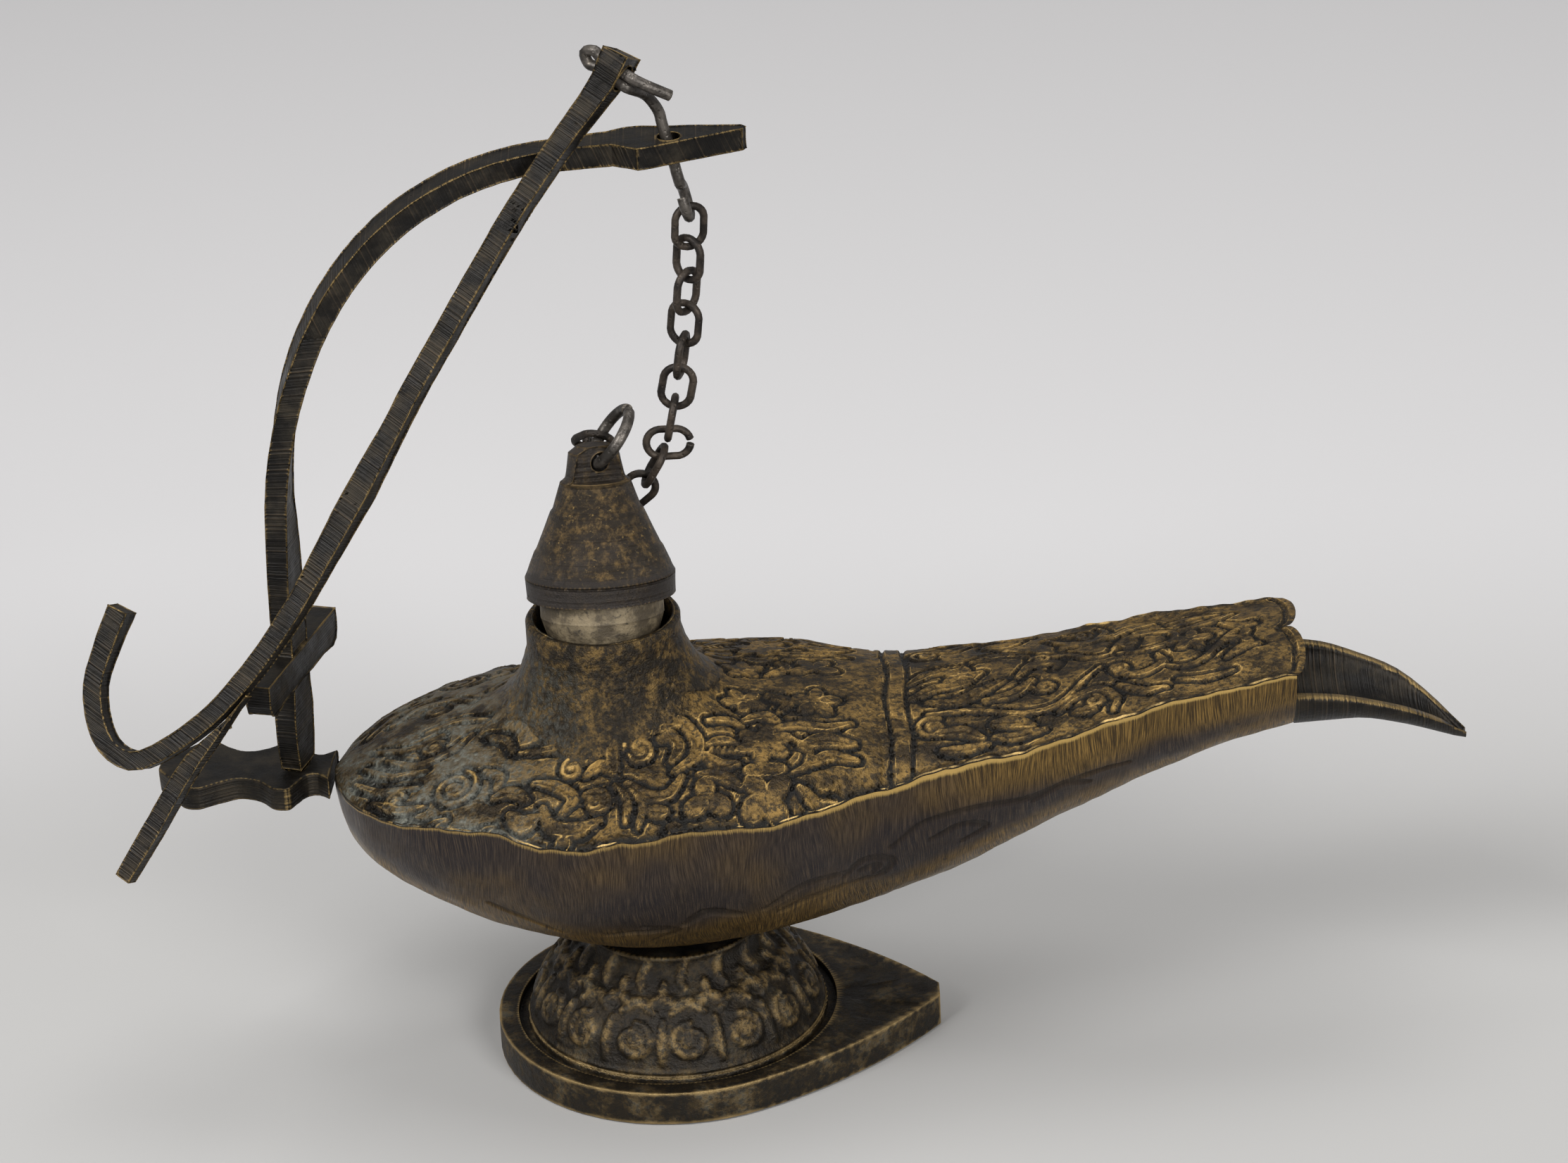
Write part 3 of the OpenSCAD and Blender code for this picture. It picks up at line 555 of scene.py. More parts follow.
# %% Wire and chain
WIRE, LINK = (0, 0.35, 0.03), (0, 0.45, 0.04)  # bevel, longest edge and dents
LINKS = 15
for node, body in (("wire_hook", "hook"), ("cap_ring", "ring")):
    worn_piece(node, body, "wire", wire_iron, *WIRE, sharp=60, join=0)
for k in range(1, LINKS + 1):
    node, body = f"chain_link_{k:02d}", f"link_{k:02d}"
    worn_piece(node, body, "chain_iron", chain_iron, *LINK, sharp=60, join=0)

# %% [markdown]
# The engraving is drawn as strokes: stems, leaves, spirals and petals. Each stroke marks
# how far every cell of a fine plan lies from its edge. Inside a stroke the metal stays
# high; outside it the ground is sunk. Strokes clear of the ridge are drawn on both sides.


# %% A plan to engrave on
class Engraving:
    """Distance to the nearest stroke's edge on a plan; negative inside a stroke."""

    CELL = 0.12
    FAR = 3.0
    REACH = 1.3

    def __init__(self, x0, x1, y0, y1, mirror_below=None):
        self.x0, self.y0, self.mirror_below = x0, y0, mirror_below
        rows, cells = int((y1 - y0) / self.CELL) + 2, int((x1 - x0) / self.CELL) + 2
        self.gap = np.full((rows, cells), self.FAR)

    def dab(self, x, y, r):
        reach = int((r + self.REACH) / self.CELL) + 1
        i, j = int((y - self.y0) / self.CELL), int((x - self.x0) / self.CELL)
        i0, i1 = max(i - reach, 0), min(i + reach + 1, self.gap.shape[0])
        j0, j1 = max(j - reach, 0), min(j + reach + 1, self.gap.shape[1])
        if i0 >= i1 or j0 >= j1:
            return
        ys = self.y0 + np.arange(i0, i1)[:, None] * self.CELL
        xs = self.x0 + np.arange(j0, j1)[None, :] * self.CELL
        part = self.gap[i0:i1, j0:j1]
        np.minimum(part, np.hypot(xs - x, ys - y) - r, out=part)

    def stroke(self, points, wide, blunt=0.0):
        """A smooth line through the points, widest in the middle; blunt keeps its ends wide."""
        p = np.array(points, float)
        ends = np.vstack([2 * p[0] - p[1], p, 2 * p[-1] - p[-2]])
        line = []
        for k in range(len(p) - 1):
            a, b, c, d = ends[k : k + 4]
            once, twice, thrice = c - a, 2 * a - 5 * b + 4 * c - d, 3 * b - a - 3 * c + d
            n = max(2, int(np.hypot(*(c - b)) / 0.2))
            for t in np.linspace(0, 1, n, endpoint=k == len(p) - 2):
                line.append(0.5 * (2 * b + once * t + twice * t**2 + thrice * t**3))
        mirrored = self.mirror_below is not None and p[:, 1].max() < self.mirror_below
        for k, (x, y) in enumerate(line):
            part = min(max(k / (len(line) - 1), 0.04), 0.96)
            swell = blunt + (1 - blunt) * math.sin(math.pi * part) ** 0.7
            for side in (1, -1) if mirrored else (1,):
                self.dab(x, y * side, wide / 2 * swell)

    def spiral(self, x, y, r, turns, start, way, wide=0.55):
        """A spiral from its rim, where a stem meets it, to its eye."""
        n = int(14 * turns)
        points = []
        for k in range(n + 1):
            a = math.radians(start) + way * 2 * math.pi * turns * k / n
            now = r * (1 - 0.78 * k / n)
            points.append((x + now * math.cos(a), y + now * math.sin(a)))
        self.stroke(points, wide, 0.8)
        self.stroke([(x - 0.1, y), (x + 0.1, y)], r * 0.45, 1)

    def flower(self, x, y, r, petals, turn, wide):
        for k in range(petals):
            a = math.radians(turn) + 2 * math.pi * k / petals
            c, s = math.cos(a), math.sin(a)
            inner, outer = (x + r * 0.35 * c, y + r * 0.35 * s), (x + r * c, y + r * s)
            self.stroke([inner, outer], wide, 0.55)
        self.stroke([(x - 0.05, y), (x + 0.05, y)], r * 0.5, 1)

    def read(self, x, y):
        """Distances at the places x, y, blended between the four nearest cells."""
        fx = np.clip((x - self.x0) / self.CELL, 0, self.gap.shape[1] - 1.001)
        fy = np.clip((y - self.y0) / self.CELL, 0, self.gap.shape[0] - 1.001)
        j, i = fx.astype(int), fy.astype(int)
        a, b = fx - j, fy - i
        near = self.gap[i, j] * (1 - a) + self.gap[i, j + 1] * a
        far = self.gap[i + 1, j] * (1 - a) + self.gap[i + 1, j + 1] * a
        return near * (1 - b) + far * b


print("one cell of a plan is", Engraving.CELL, "mm wide")

# %% [markdown]
# The belly's design: a crescent and broad leaves by the neck, a flower with round petals
# toward the waist, roundels and waves by the tail. Each entry holds a line of points and
# the stroke's greatest width.

# %% Leaves of the belly
PLAN, RIDGE_HALF = (-42.5, 82, -27.5, 27.5), 2.5
raised = Engraving(*PLAN, mirror_below=-RIDGE_HALF)
veins = Engraving(*PLAN, mirror_below=-RIDGE_HALF)
BELLY_LEAVES = [
    ([(0.4, -11.6), (3.0, -10.3), (4.6, -12.6), (4.2, -15.4), (1.8, -17.4)], 1.7),
    ([(0.2, -12.8), (1.6, -12.2), (2.4, -13.8), (1.4, -15.8)], 1.5),
    ([(-6.1, -12.8), (-5.6, -16.9)], 1.5), ([(-9.2, -16.6), (-7.4, -15.6), (-6.2, -16.6)], 1.3),
    ([(-17.5, -11.2), (-14.5, -12.0), (-11.5, -12.4), (-8.5, -13.4)], 0.8),
    ([(-15.6, -16.4), (-13.0, -17.4), (-10.9, -19.6), (-12.2, -21.6)], 1.5),
    ([(-20.6, -17.6), (-18.4, -17.2), (-16.6, -18.8)], 1.7),
    ([(-18.6, -20.6), (-17.2, -22.0), (-15.4, -21.6)], 2.0),
    ([(-14.6, -20.4), (-13.6, -23.0), (-10.4, -23.9), (-7.6, -23.4)], 1.5),
    ([(-9.2, -19.4), (-7.4, -19.6), (-7.0, -21.4), (-8.4, -22.0)], 1.5),
    ([(-4.0, -18.6), (-1.6, -20.8), (1.0, -20.9), (2.6, -18.4)], 1.6),
    ([(-5.6, -18.6), (-4.2, -21.0), (-4.4, -24.2)], 0.9),
    ([(-3.8, -19.6), (-2.3, -22.0), (-2.9, -25.0)], 0.8), ([(-1.4, -23.0), (0.6, -23.4)], 1.7),
    ([(-12.8, -25.2), (-11.6, -25.0)], 1.7), ([(0.8, -25.3), (2.2, -25.2)], 1.0),
    ([(4.9, -18.2), (7.2, -18.4), (9.8, -20.4)], 1.7),
    ([(5.6, -15.0), (7.4, -16.8), (9.4, -16.6)], 1.8),
    ([(6.0, -13.2), (7.6, -12.4), (9.6, -13.0)], 1.2),
    ([(16.4, -12.4), (18.4, -14.8), (18.0, -17.2), (16.2, -18.6)], 0.9),
    ([(17.6, -14.0), (20.4, -12.6), (23.8, -12.9)], 2.4),
    ([(18.6, -17.0), (21.0, -15.4), (24.2, -15.6)], 1.7),
    ([(10.6, -8.6), (13.0, -7.6), (14.6, -8.8)], 1.7),
    ([(13.6, -10.6), (17.0, -9.8), (20.6, -10.2), (23.8, -9.0)], 1.5),
    ([(6.0, -9.2), (8.6, -8.6), (10.4, -9.8)], 1.0),
    ([(13.6, -2.8), (16.0, -4.6), (15.0, -6.8)], 1.5),
    ([(17.0, -20.6), (19.4, -21.8), (21.6, -20.8)], 1.5),
    ([(-34.5, -4.6), (-30.8, -7.8), (-26.6, -7.2), (-23.6, -4.6)], 1.0),
    ([(-37.6, -4.0), (-34.0, -8.2), (-29.2, -9.6)], 0.8),
    ([(-38.6, -6.4), (-35.4, -10.2), (-30.4, -12.2)], 0.8),
    ([(-36.2, -11.6), (-33.0, -14.6), (-29.6, -15.8)], 0.9),
    ([(-33.0, -17.0), (-29.8, -19.2), (-26.8, -19.0)], 1.5),
    ([(-26.4, -21.4), (-23.6, -22.6), (-20.8, -22.2)], 1.4),
    ([(-21.8, -12.8), (-20.0, -14.2), (-20.4, -16.2)], 1.1),
    ([(-21.6, -6.4), (-19.2, -8.6), (-18.4, -10.6)], 1.0),
    ([(-36.0, -1.4), (-31.6, -3.8), (-27.4, -2.6)], 0.9),
    ([(-29.6, -0.9), (-25.4, -0.4), (-21.8, -2.6)], 0.9),
]
print("leaves on the belly:", len(BELLY_LEAVES))

# %% [markdown]
# The spout carries leaf sprays, a heart scroll and a trefoil. Broad leaves have a vein.

# %% Leaves of the spout
BROAD = 1.25
SPOUT_LEAVES = [
    ([(31.6, -3.4), (34.6, -1.2), (38.0, -0.6), (40.6, 2.2)], 1.7),
    ([(33.6, -4.6), (37.4, -4.8), (40.4, -2.8), (43.2, -0.8)], 1.8),
    ([(40.6, -5.4), (44.4, -4.4), (46.8, -1.6)], 1.7),
    ([(45.0, -0.4), (47.0, 2.4), (50.2, 2.0), (49.6, 0.2)], 1.2),
    ([(31.6, 0.6), (34.4, 3.2), (38.4, 4.4)], 1.7), ([(39.6, 5.6), (43.2, 6.8), (46.6, 5.6)], 1.4),
    ([
        (33.4, -7.2), (37.5, -7.1), (41.0, -7.8), (44.6, -8.9), (48.0, -9.0), (50.6, -7.4),
        (52.9, -4.2), (55.4, -1.4),
    ], 0.8),
    ([(34.6, -11.4), (37.4, -11.2), (39.8, -12.8)], 1.8),
    ([(34.8, -14.2), (37.6, -14.4), (40.4, -13.9)], 1.3),
    ([(41.6, -10.4), (44.0, -10.6), (46.0, -11.6)], 2.3),
    ([(41.4, -12.9), (44.0, -13.2), (47.6, -12.6)], 1.3),
    ([(49.6, -9.8), (51.8, -7.4), (54.9, -6.6), (56.8, -9.0), (56.2, -11.2)], 1.1),
    ([(51.6, -10.4), (54.0, -10.4)], 1.3),
    ([(57.4, -3.8), (60.4, -4.9), (63.1, -3.2), (62.6, -1.0)], 1.2),
    ([
        (57.0, 1.6), (58.4, 4.6), (61.4, 5.8), (64.8, 4.6), (65.0, 2.2), (61.8, 0.8), (57.8, 1.2),
    ], 0.9),
    ([(48.6, 4.4), (51.6, 3.6), (54.4, 1.6), (57.0, 1.4)], 0.8),
    ([(51.0, 6.4), (54.6, 6.6), (57.6, 7.6)], 1.2),
    ([(57.2, -6.4), (60.2, -8.6), (63.0, -8.8)], 1.1),
    ([(62.8, -3.8), (65.6, -5.0), (68.0, -4.2), (70.0, -1.8), (72.2, 1.2), (75.0, 3.6)], 0.8),
    ([(66.0, 4.8), (69.4, 5.6), (72.8, 7.2)], 1.1),
    ([(71.0, -4.6), (73.0, -3.0), (75.2, -2.8)], 1.1),
    ([(64.6, -7.6), (67.8, -8.4), (71.4, -7.8)], 0.9),
]
for line, wide in BELLY_LEAVES + SPOUT_LEAVES:
    raised.stroke(line, wide, 0.35)
    if wide > BROAD:
        veins.stroke(line, 0.30, 0.7)
print("leaves on the spout:", len(SPOUT_LEAVES))

# %% [markdown]
# Spirals and flowers fill the field between the leaves. Short veins hatch a few leaves, a
# plain ridge crosses the waist, and a border follows the two lobes of the mouth.

# %% Spirals, flowers and borders
# Place, size, turns, starting angle and way round.
SPIRALS = (
    (-10.9, -15.4, 1.4, 1.3, 90, 1), (-2.3, -14.2, 1.6, 1.5, 200, 1),
    (-8.1, -20.6, 1.3, 1.2, 0, -1), (-25.6, -14.4, 2.9, 1.9, 60, -1),
    (-33.4, -12.9, 1.3, 1.2, 0, 1), (33.8, -9.9, 2.0, 1.5, 60, 1),
    (54.0, -8.9, 1.2, 1.2, 90, -1), (57.4, -2.6, 1.3, 1.4, 270, 1),
    (59.4, 3.3, 1.3, 1.3, 40, 1), (48.2, -3.6, 1.4, 1.3, 180, 1),
    (-28.6, -5.2, 1.5, 1.3, 30, 1),
)
# Place, size, petals, turn and the width of a petal.
FLOWERS = (
    (12.9, -13.2, 3.0, 6, 20, 2.0), (5.6, -21.9, 2.4, 3, 95, 2.3),
    (12.9, -21.8, 2.9, 4, 40, 2.5), (19.6, -4.6, 2.6, 5, 15, 1.9),
    (10.6, -4.4, 2.2, 5, 50, 1.6), (38.0, 1.6, 2.2, 5, 0, 1.6),
    (67.0, 1.2, 2.2, 5, 10, 1.5), (73.2, -0.4, 1.8, 3, 60, 1.3),
)
HAIR, RIDGE_X, LOBE_REACH = 0.22, 29.8, 1.6
for spiral in SPIRALS:
    raised.spiral(*spiral)
for flower in FLOWERS:
    raised.flower(*flower)
raised.stroke([(11.3, -17.9), (14.5, -17.9)], 2.2, 0.9)
for k in range(7):
    veins.stroke([(11.2 + k * 0.55, -18.9), (11.6 + k * 0.55, -17.0)], HAIR, 0.8)
    veins.stroke([(34.0 + k * 0.9, -5.6), (34.7 + k * 0.9, -4.0)], HAIR, 0.8)
for k in range(5):
    veins.stroke([(51.0 + k * 1.1, -11.0), (51.4 + k * 1.1, -9.6)], HAIR, 0.8)
    raised.stroke([(6.1 + k * 0.8, -14.6), (6.5 + k * 0.8, -13.8)], 0.45, 0.8)
for y in np.arange(-24, 25, 0.12):
    raised.dab(RIDGE_X + 0.25 * math.sin(y * 0.4), y, 0.9)
    veins.dab(RIDGE_X - 2.4 + 0.2 * math.sin(y * 0.3), y, 0.2)
mouth_half = one(half_width, MOUTH_X)
for a in np.linspace(-0.99, 0.99, 220):
    for lobe in (-1, 1):
        y = lobe * mouth_half / 2 + a * mouth_half / 2
        raised.dab(MOUTH_X - 0.35 + LOBE_REACH * math.sqrt(1 - a * a), y, 0.55)
print("spirals and flowers:", len(SPIRALS), len(FLOWERS))

# %% [markdown]
# The finishes of the body. Raised metal is golden brown with a painted highlight along its
# edges, and the sunk ground is nearly black with punched dots. Grey-green patina gathers at
# the tail.


# %% Finishes of the cover
def engraved_finish():
    r = Recipe("engraved_brass", metallic=0.72, roughness=0.5)
    shade, gold, soot = (0.036, 0.025, 0.013), (0.27, 0.165, 0.048), (0.018, 0.014, 0.010)
    black, umber, bright = (0.010, 0.009, 0.008), (0.085, 0.056, 0.022), (0.62, 0.40, 0.13)
    dull, pale = (0.036, 0.037, 0.030), (0.17, 0.175, 0.145)
    high = r.attribute("high")
    mottle, fine = r.noise(230, 6, 0.68), r.noise(1300, 4, 0.7)
    top = r.mix(r.ramp(mottle, 0.38, 0.64), shade, gold)
    top = r.mix(r.ramp(fine, 0.47, 0.60, 0, 0.85), top, soot)
    ground = r.mix(r.ramp(fine, 0.58, 0.72), black, umber)
    color = r.mix(high, ground, top)
    # Painted highlight: bright brass along the stroke edges.
    edge = r.ramp(r.fray(r.attribute("rim"), mottle, 0.9), 0.95, 1.5, 0, 0.8)
    color = r.mix(edge, color, bright)
    patina = r.mix(r.ramp(fine, 0.38, 0.72), dull, pale)
    amount = r.times(r.attribute("green"), r.ramp(mottle, 0.40, 0.62))
    color = r.mix(amount, color, patina)
    punched = r.times(r.ramp(r.cells(1150), 0.1, 0.45), r.ramp(high, 0, 1, 0.75, 0.15))
    return r.finish(
        color, roughness=r.ramp(mottle, 0.3, 0.7, 0.40, 0.60),
        metallic=r.ramp(amount, 0, 1, 0.8, 0.25),
        normal=r.bump(r.fray(punched, fine, 0.8), 0.0005, 0.9),
    )


def collar_finish():
    r = Recipe("collar_brass", metallic=0.7, roughness=0.5)
    shade, gold, soot = (0.022, 0.017, 0.011), (0.19, 0.120, 0.040), (0.016, 0.013, 0.010)
    patina, bright = (0.12, 0.12, 0.10), (0.66, 0.45, 0.17)
    mottle, fine = r.noise(430, 7, 0.75), r.noise(1500, 4, 0.7)
    color = r.mix(r.ramp(mottle, 0.42, 0.68), shade, gold)
    color = r.mix(r.ramp(fine, 0.46, 0.60, 0, 0.85), color, soot)
    green = r.times(r.attribute("green"), r.ramp(fine, 0.4, 0.65))
    color = r.mix(green, color, patina)
    # Rubbed brass on worn edges, plus painted highlight: glints along the seam edge.
    rub_and_painted_glint = r.ramp(r.fray(r.attribute("worn"), mottle, 0.7), 0.95, 1.45)
    return r.finish(
        r.mix(rub_and_painted_glint, color, bright), roughness=r.ramp(mottle, 0.3, 0.7, 0.36, 0.56),
        normal=r.bump(fine, 0.0006, 0.9),
    )


engraved, collar_brass = engraved_finish(), collar_finish()
print("cover finishes:", engraved.name, collar_brass.name)

# %% [markdown]
# The bowl's band under the seam is scratched upright, and tinted plum where an old coat
# has stayed. The scratches are noise stretched along the value that runs down the hull.
# The lower hull gets painted shade, and the top of the hull painted glints.


# %% Finish of the bowl
def bowl_finish():
    r = Recipe("scratched_brass", metallic=0.78, roughness=0.42)
    shade, gold = (0.050, 0.033, 0.016), (0.32, 0.195, 0.056)
    plum_dark, plum_light = (0.024, 0.020, 0.022), (0.115, 0.082, 0.055)
    # Painted shade: colours for the darker lower hull.
    painted_shade_dark, painted_shade_light = (0.050, 0.036, 0.020), (0.20, 0.135, 0.058)
    groove, bright, pit = (0.022, 0.017, 0.012), (0.60, 0.40, 0.13), (0.03, 0.022, 0.018)
    streak = r.add(
        "ShaderNodeCombineXYZ",
        {"X": r.attribute("around"), "Y": r.times(r.attribute("down"), 0.028)},
    )
    lines = r.noise(8.5, 6, 0.66, vector=streak.outputs["Vector"])
    mottle, patch = r.noise(190, 6, 0.66), r.noise(62, 3, 0.5)
    brass = r.mix(r.ramp(lines, 0.40, 0.66), shade, gold)
    plum = r.mix(r.ramp(lines, 0.42, 0.72), plum_dark, plum_light)
    kept = r.fray(r.times(patch, 0.7), r.attribute("band"), 0.42)
    color = r.mix(r.ramp(r.fray(kept, lines, 0.45), 0.75, 1.06), brass, plum)
    # Painted shade: the lower hull is drawn darker, in a plainer mottle.
    painted_shade = r.mix(r.ramp(mottle, 0.4, 0.62), painted_shade_dark, painted_shade_light)
    low = r.ramp(r.fray(r.attribute("low"), mottle, 0.5), 0.7, 1.2)
    color = r.mix(low, color, painted_shade)
    color = r.mix(r.attribute("cut"), color, groove)
    # Painted highlight: bright glints along the top of the hull, by the seam.
    glint = r.fray(r.attribute("rim"), lines, 0.9)
    color = r.mix(r.ramp(glint, 1.07, 1.50), color, bright)
    spots = r.ramp(r.cells(150), 0.035, 0.06, 1, 0)
    height = r.fray(r.times(lines, 0.55), mottle, 0.5)
    return r.finish(
        r.mix(r.times(spots, 0.8), color, pit), roughness=r.ramp(mottle, 0.3, 0.7, 0.30, 0.48),
        normal=r.bump(height, 0.00035, 0.7),
    )


scratched = bowl_finish()
print("bowl finish:", scratched.name)

# %% [markdown]
# Under the skins the CAD solids of the bowl and cover stay as a core, drawn in by half a
# millimetre or more where a skin covers them so that the sunk ground stays above them.

# %% Cores of the bowl and cover
COVER_IN, BOWL_IN, PEDESTAL_Z = 0.6, 0.5, 17.8
TONGUE_X, TONGUE_LENGTH, TONGUE_Z, TONGUE_DROOP = 79.4, 22.3, 48.6, 10
STAY = (0, 0, 0)
# Share of the tongue's length, then share of its droop.
DROOP_ROWS = np.array([
    [0, 0], [0.22, 0.06], [0.4, 0.18], [0.63, 0.38], [0.8, 0.63], [0.93, 0.87], [1, 1],
])


def core(node, inward):
    """A copy whose vertices move inward, with the tongue's rim marked to be drawn bright."""
    bm = welded(node)
    bm.normal_update()
    moves = [(v, inward(v.co / MM, v.normal)) for v in bm.verts]
    for v, step in moves:
        v.co += Vector(step) * MM
    mesh = mesh_from(bm, node)
    x, _, z = (points_of(mesh) / MM).T
    droop = np.interp((x - TONGUE_X) / TONGUE_LENGTH, *DROOP_ROWS.T)
    on_rim = np.abs(z - (TONGUE_Z - TONGUE_DROOP * droop)) < 0.3
    mark(mesh, worn=on_rim & (x > MOUTH_X + 0.2), along=x, green=np.zeros(len(x)))
    return mesh


def cover_inward(p, n):
    r = math.hypot(p.x - NECK_X, p.y)
    if r < RIM_R + 0.02 or p.x > MOUTH_X - 0.1:
        return STAY
    t = abs(p.y) / one(half_width, p.x)
    outside = abs(p.z - one(cover_top, p.x, p.y)) < 1.5
    deep = COVER_IN if outside and n.z > -0.2 else 0.0
    drop = one(wander, p.x) * float(smooth(0.80, 0.95, min(t, 1)))
    pull = min(drop - 0.3, 0) if t > 0.8 else 0
    side = -0.5 * math.copysign(1, p.y) if t > 0.93 else 0
    return -n.x * deep, side - n.y * deep, pull - abs(n.z) * deep


def bowl_inward(p, n):
    if p.x > MOUTH_X + 0.2:
        return STAY
    w, top, low = (one(f, p.x) for f in (half_width, seam, keel))
    t = (abs(p.y) / max(w, 0.1)) ** 2 + ((top - p.z) / max(top - low, 0.1)) ** 2
    outer = t > 0.93 and n.y * p.y >= -0.01
    deep = BOWL_IN if outer and p.z > PEDESTAL_Z else 0.0
    pull = min(one(wander, p.x) - 0.35, -0.1) if p.z > top - 0.5 else 0
    return -n.x * deep, -n.y * deep, pull - n.z * deep


make_piece(core("cover", cover_inward), "cover_core", collar_brass, "cover")
make_piece(core("bowl", bowl_inward), "bowl_core", dark_brass, "bowl")

# %% [markdown]
# Each skin starts as a flat grid, is laid over the curves, and is then pushed along its
# own normal by the engraving. The belly's skin is open under the neck's sleeve.

# %% Cover skins
HOLE_R, WAIST_X = 11.6, 31.0
GROUND_DEPTH, VEIN_DEPTH = 0.40, 0.16


def normals_of(height, x, y, step=0.05):
    dx = (height(x + step, y) - height(x - step, y)) / (2 * step)
    dy = (height(x, y + step) - height(x, y - step)) / (2 * step)
    n = columns(-dx, -dy, np.ones_like(dx))
    return n / np.linalg.norm(n, axis=1)[:, None]


def engrave(mesh, x, y, z, n):
    """Sinks the ground between strokes and stores what the finish needs."""
    uneven, fine = noise_at(x * 0.5, y * 0.5, z * 0.5), noise_at(x * 1.9, y * 1.9, z * 1.9)
    far, cut = raised.read(x, y) + 0.12 * fine, veins.read(x, y)
    plain = 1 - smooth(HOLE_R - 0.1, HOLE_R + 1.9, np.hypot(x - NECK_X, y))
    field = 0.80 * smooth(0.62, 0.86, far + 0.30 * uneven)
    high = np.maximum(np.maximum(1 - smooth(-0.04, 0.22, far), plain), field)
    edge_fade = 1 - smooth(0.955, 0.995, np.abs(y) / half_width(x))
    vein = VEIN_DEPTH * high * (1 - plain) * (1 - smooth(0.0, 0.16, cut))
    push = -GROUND_DEPTH * (1 - high) - vein + 0.06 * uneven + 0.03 * fine
    push = np.minimum(push, 0.03) * edge_fade * smooth(-BODY_BACK, -40.4, x)
    set_points(mesh, columns(x, y, z) + n * push[:, None])
    # Painted highlight: a thin bright line along each stroke's edge, for the finish to draw.
    edge = np.minimum(np.abs(far + 0.12), np.abs(far - 0.85))
    rim = bell(edge, 0.15) * (1 - plain) * (0.75 + 0.25 * np.clip(uneven * 2, -1, 1))
    mark(mesh, high=high * edge_fade, rim=rim, green=smooth(-8, -26, x) * 0.8 + 0.06)


def cover_skin(name, x_from, x_to, nu, nv):
    mesh, u, v = grid(nu, nv)
    if x_to >= MOUTH_X:
        y_end = (2 * v - 1) * mouth_half
        lobe = (np.abs(y_end) - mouth_half / 2) / (mouth_half / 2)
        x_to = MOUTH_X + LOBE_REACH * np.sqrt(np.maximum(1 - lobe * lobe, 0)) - 0.02
    x = x_from + (x_to - x_from) * u
    y = half_width(np.minimum(x, MOUTH_X + 1.5)) * (2 * v - 1) * 0.9995
    r = np.hypot(x - NECK_X, y)
    near = (r < HOLE_R + 0.3) & (r > HOLE_R)
    x = np.where(near, NECK_X + (x - NECK_X) / r * HOLE_R, x)
    y = np.where(near, y / r * HOLE_R, y)
    engrave(mesh, x, y, cover_top(x, y), normals_of(cover_top, x, y))
    face_up(mesh, (0, 0, 1))
    cut_away(mesh, r <= HOLE_R)
    make_piece(mesh, name, engraved)


cover_skin("cover_engraving_belly", -BODY_BACK + 0.05, WAIST_X, 360, 265)
cover_skin("cover_engraving_spout", WAIST_X, MOUTH_X, 250, 170)

# %% [markdown]
# The neck is a plain sleeve with a ragged lower edge, a turned lip and a bright rim. The
# second side of its grid runs up the neck, over the lip and down into the bore.

# %% Neck sleeve
LIP_FROM, BORE_FROM = 0.68, 0.80
SLEEVE_LIFT, LIP_WALL, BORE_DEPTH = 0.16, 0.95, 3.2


def neck_sleeve():
    mesh, u, v = grid(420, 70)
    a = u * 2 * math.pi
    c, s = np.cos(a), np.sin(a)
    wall, foot_r, rim_r = v < LIP_FROM, 14.0, RIM_R + 0.06
    ragged = foot_r + 0.9 * np.sin(3 * a + 0.6) + 0.5 * np.sin(7 * a + 2) + 0.3 * np.sin(13 * a)
    r = ragged + (rim_r - ragged) * np.clip(v / LIP_FROM, 0, 1) ** 0.8
    x = NECK_X + r * c
    z = cover_top(x, r * s) + SLEEVE_LIFT
    z = np.where(v < 0.03, z - 0.5, z)
    lip = np.clip((v - LIP_FROM) / 0.12, 0, 1)
    bore = np.clip((v - BORE_FROM) / 0.20, 0, 1)
    uneven, dent = noise_at(c * 3, s * 3, v * 4), noise_at(c * 9, s * 9, v * 12)
    top_z = RIM_Z + 0.05 - 0.45 * np.clip(uneven, -0.2, 1) * (lip > 0)
    over = np.sin(lip * math.pi / 2)
    z = np.where(v > LIP_FROM, z * (1 - over) + top_z * over, z)
    z = np.where(v > BORE_FROM, top_z - BORE_DEPTH * bore, z)
    r = np.where(v > LIP_FROM, rim_r - LIP_WALL * lip, r) + 0.10 * dent * wall - 0.05 * wall
    set_points(mesh, columns(NECK_X + r * c, r * s, z))
    worn = 1.5 * bell(v - 0.755, 0.045) + 0.5 * bell(v - 0.03, 0.02)
    mark(mesh, worn=worn * (0.8 + 0.5 * uneven), green=0.5 * smooth(-6, -16, x))
    face_up(mesh, (-1, 0, 0.3))
    make_piece(mesh, "neck_sleeve", collar_brass)


neck_sleeve()

# %% [markdown]
# The bowl's skin follows the hull from the seam down to the pedestal. Its upper band is
# plain and scratched, and scrolls and panels are cut lower down.

